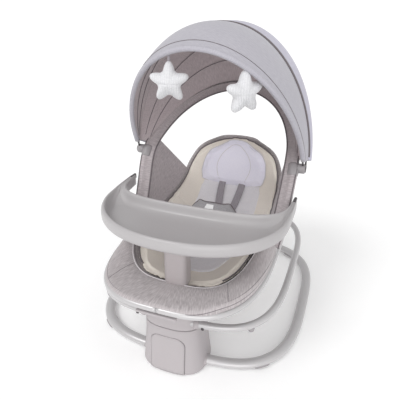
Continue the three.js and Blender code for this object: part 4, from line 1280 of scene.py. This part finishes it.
def build_rim():
    shares = np.linspace(0, 1, 141)
    profiles = [rim_profile(s) for s in shares]
    rows = [profile.points(30) for profile in profiles]
    cover = grid("rim_cushion_cover", rows, LINEN, solid=False)
    thicken(cover, 2.6, 0.0, 1)
    settle(cover, "swing", ("rim_cover",))
    stretch(cover, rows, ["seat_ring_tube_left", "seat_ring_tube_right"])
    for name, share in (("low", 0.10), ("high", 0.20)):
        line = [profile.at(share) for profile in profiles]
        lifted = [p + unit(profile.at(share) - vec(0, 150, 150)) * 1.0 for p, profile in zip(line, profiles)]
        pipe(f"rim_hem_seam_{name}", lifted, 0.8, THREAD, "swing", (), 8)
    inner = [profile.at(1.0) for profile in profiles]
    pipe("rim_inner_piping", [p + vec(0, 0, -1) for p in inner], 1.9, PIPING, "swing", ())
    light = [profile.at(0.955) + vec(0, 0, 1.6) for profile in profiles]
    pipe("rim_light_piping", light, 1.3, PALE_PIPING, "swing", ())
    for side, s in (("left", 0.285), ("right", 0.715)):
        line = [rim_profile(s + (0.5 - s) * 0.06 * k).at(k) + UP * 0.9 for k in np.linspace(0.2, 0.95, 30)]
        pipe(f"rim_corner_seam_{side}", line, 0.9, THREAD, "swing", (), 8)


WING_ARCH = (0.018, 0.215)
WING_BUCKET = (0.36, 0.76)
SKIRT_Y = (180, 322)
SKIRT_BUCKET = (0.335, 0.50)


def build_wings():
    for side, sign in SIDES:
        rows = []
        for v in np.linspace(0, 1, 40):
            share = lerp(*WING_ARCH, v)
            on_arch = arch_offset(share if sign < 0 else 1 - share, 21.0, 0)
            edge = bucket(0.0 if sign < 0 else 1.0, lerp(*WING_BUCKET, v), 4.0)
            edge = edge + vec(-sign * 2, 0, -2)
            row = []
            for u in np.linspace(0, 1, 16):
                sag = 9 * math.sin(math.pi * u) * math.sin(math.pi * (0.15 + 0.85 * v))
                row.append(lerp(on_arch, edge, u) + vec(-sign * 0.2, 0.5, -0.8) * sag)
            rows.append(row)
        wing = grid(f"side_wing_cloth_{side}", rows, WING, solid=False)
        thicken(wing, 1.8, 0.0, 1)
        recline(wing, (f"side_wing_{side}",))
        stretch(wing, rows, ["arch_band", "seat_insert"])

        skirt_rows = []
        for v in np.linspace(0, 1, 24):
            ring = vec(sign * SEAT_RING[0], lerp(*SKIRT_Y, v), SEAT_RING[4])
            top = bucket(0.0 if sign < 0 else 1.0, lerp(*SKIRT_BUCKET, v), 0.0)
            top = top + vec(sign * 3, 0, -3)
            row = []
            for u in np.linspace(0, 1, 12):
                belly = 7 * math.sin(math.pi * u)
                row.append(lerp(ring + vec(sign * 2, 0, 8.5), top, u) + vec(sign * 0.6, 0, 0.5) * belly)
            skirt_rows.append(row)
        skirt = grid(f"side_skirt_{side}", skirt_rows, LINEN, solid=False)
        thicken(skirt, 1.8, 0.0, 1)
        settle(skirt, "swing", ())
        stretch(skirt, skirt_rows, [f"seat_ring_tube_{side}", "seat_sling"])


build_rim()
build_wings()

# ---------------------------------------------------------------- hanging stars

# side, place along the bow, turn about the ribbon, drop below the bow, reach of the points
STARS = (("left", -62, 0.25, 67, 46.0), ("right", 109, 0.9, 57, 48.0))
STAR_WAIST, STAR_HALF_DEPTH, STAR_RINGS = 0.60, 17.0, 22


def star_radius(angle, outer):
    wave = (1 + math.cos(5 * (angle - math.pi / 2))) / 2
    return outer * lerp(STAR_WAIST, 1, wave ** 1.4)


def build_star(side, x, turn, drop, outer):
    t = math.acos(-x / FRONT_BOW[0])
    anchor = bow_point(FRONT_BOW, t, 7)
    across = vec(math.cos(turn), math.sin(turn), 0)
    depth = vec(-math.sin(turn), math.cos(turn), 0)
    centre = anchor - UP * drop
    front = np.sin(np.linspace(0.02, math.pi / 2, STAR_RINGS))
    rings = np.concatenate([front, np.sin(np.linspace(math.pi / 2, 0.02, STAR_RINGS))[1:]])
    rows = []
    for k, ring in enumerate(rings):
        face = 1 if k < STAR_RINGS else -1
        row = []
        for angle in np.linspace(0, 2 * math.pi, 100, endpoint=False):
            radius = star_radius(angle, outer) * ring
            a, b = radius * math.cos(angle), radius * math.sin(angle)
            puffed = STAR_HALF_DEPTH * math.sqrt(max(0.0, 1 - ring ** 2.4))
            seam = -1.4 * math.exp(-((b + 3) / 1.6) ** 2)
            rib = 1.5 * math.sin(2 * math.pi * a / 5.0) * smooth(-5, -9, b)
            out = puffed + (seam + rib) * min(1.0, puffed / 5)
            row.append(centre + across * a + UP * b + depth * face * out)
        rows.append(row)
    star = grid(f"star_plush_{side}", rows, PLUSH, wrap=True, caps=True)
    cushion_details(star, f"star_{side}", (f"star_{side}",))
    top = centre + UP * (outer - 3)
    loop = [top, lerp(top, anchor, 0.5) + across * 0.8, anchor - UP * 3.2]
    section = [(-0.7, -2.6), (0.7, -2.6), (0.7, 2.6), (-0.7, 2.6)]
    ribbon = sweep(f"star_ribbon_{side}", Spline(loop).points(16), section, WEBBING, depth)
    settle(ribbon, f"star_{side}", ())


for star in STARS:
    build_star(*star)

# ---------------------------------------------------------------- floor

floor_mesh = bpy.data.meshes.new("floor")
FLOOR_REACH, FLOOR_DROP = 300.0, 0.0006
floor_corners = [(x * FLOOR_REACH, y * FLOOR_REACH, 0) for x, y in ((-1, -1), (1, -1), (1, 1), (-1, 1))]
floor_mesh.from_pydata(floor_corners, [], [(0, 1, 2, 3)])
floor = bpy.data.objects.new("floor", floor_mesh)
scene.collection.objects.link(floor)
floor_white = Graph("floor_white").finish(linear((250, 250, 250)), 0.9, Specular_IOR_Level=0.0,
                                          Emission_Color=(1, 1, 1, 1), Emission_Strength=0.12)
floor_mesh.materials.append(floor_white)
floor.location.z = -FLOOR_DROP
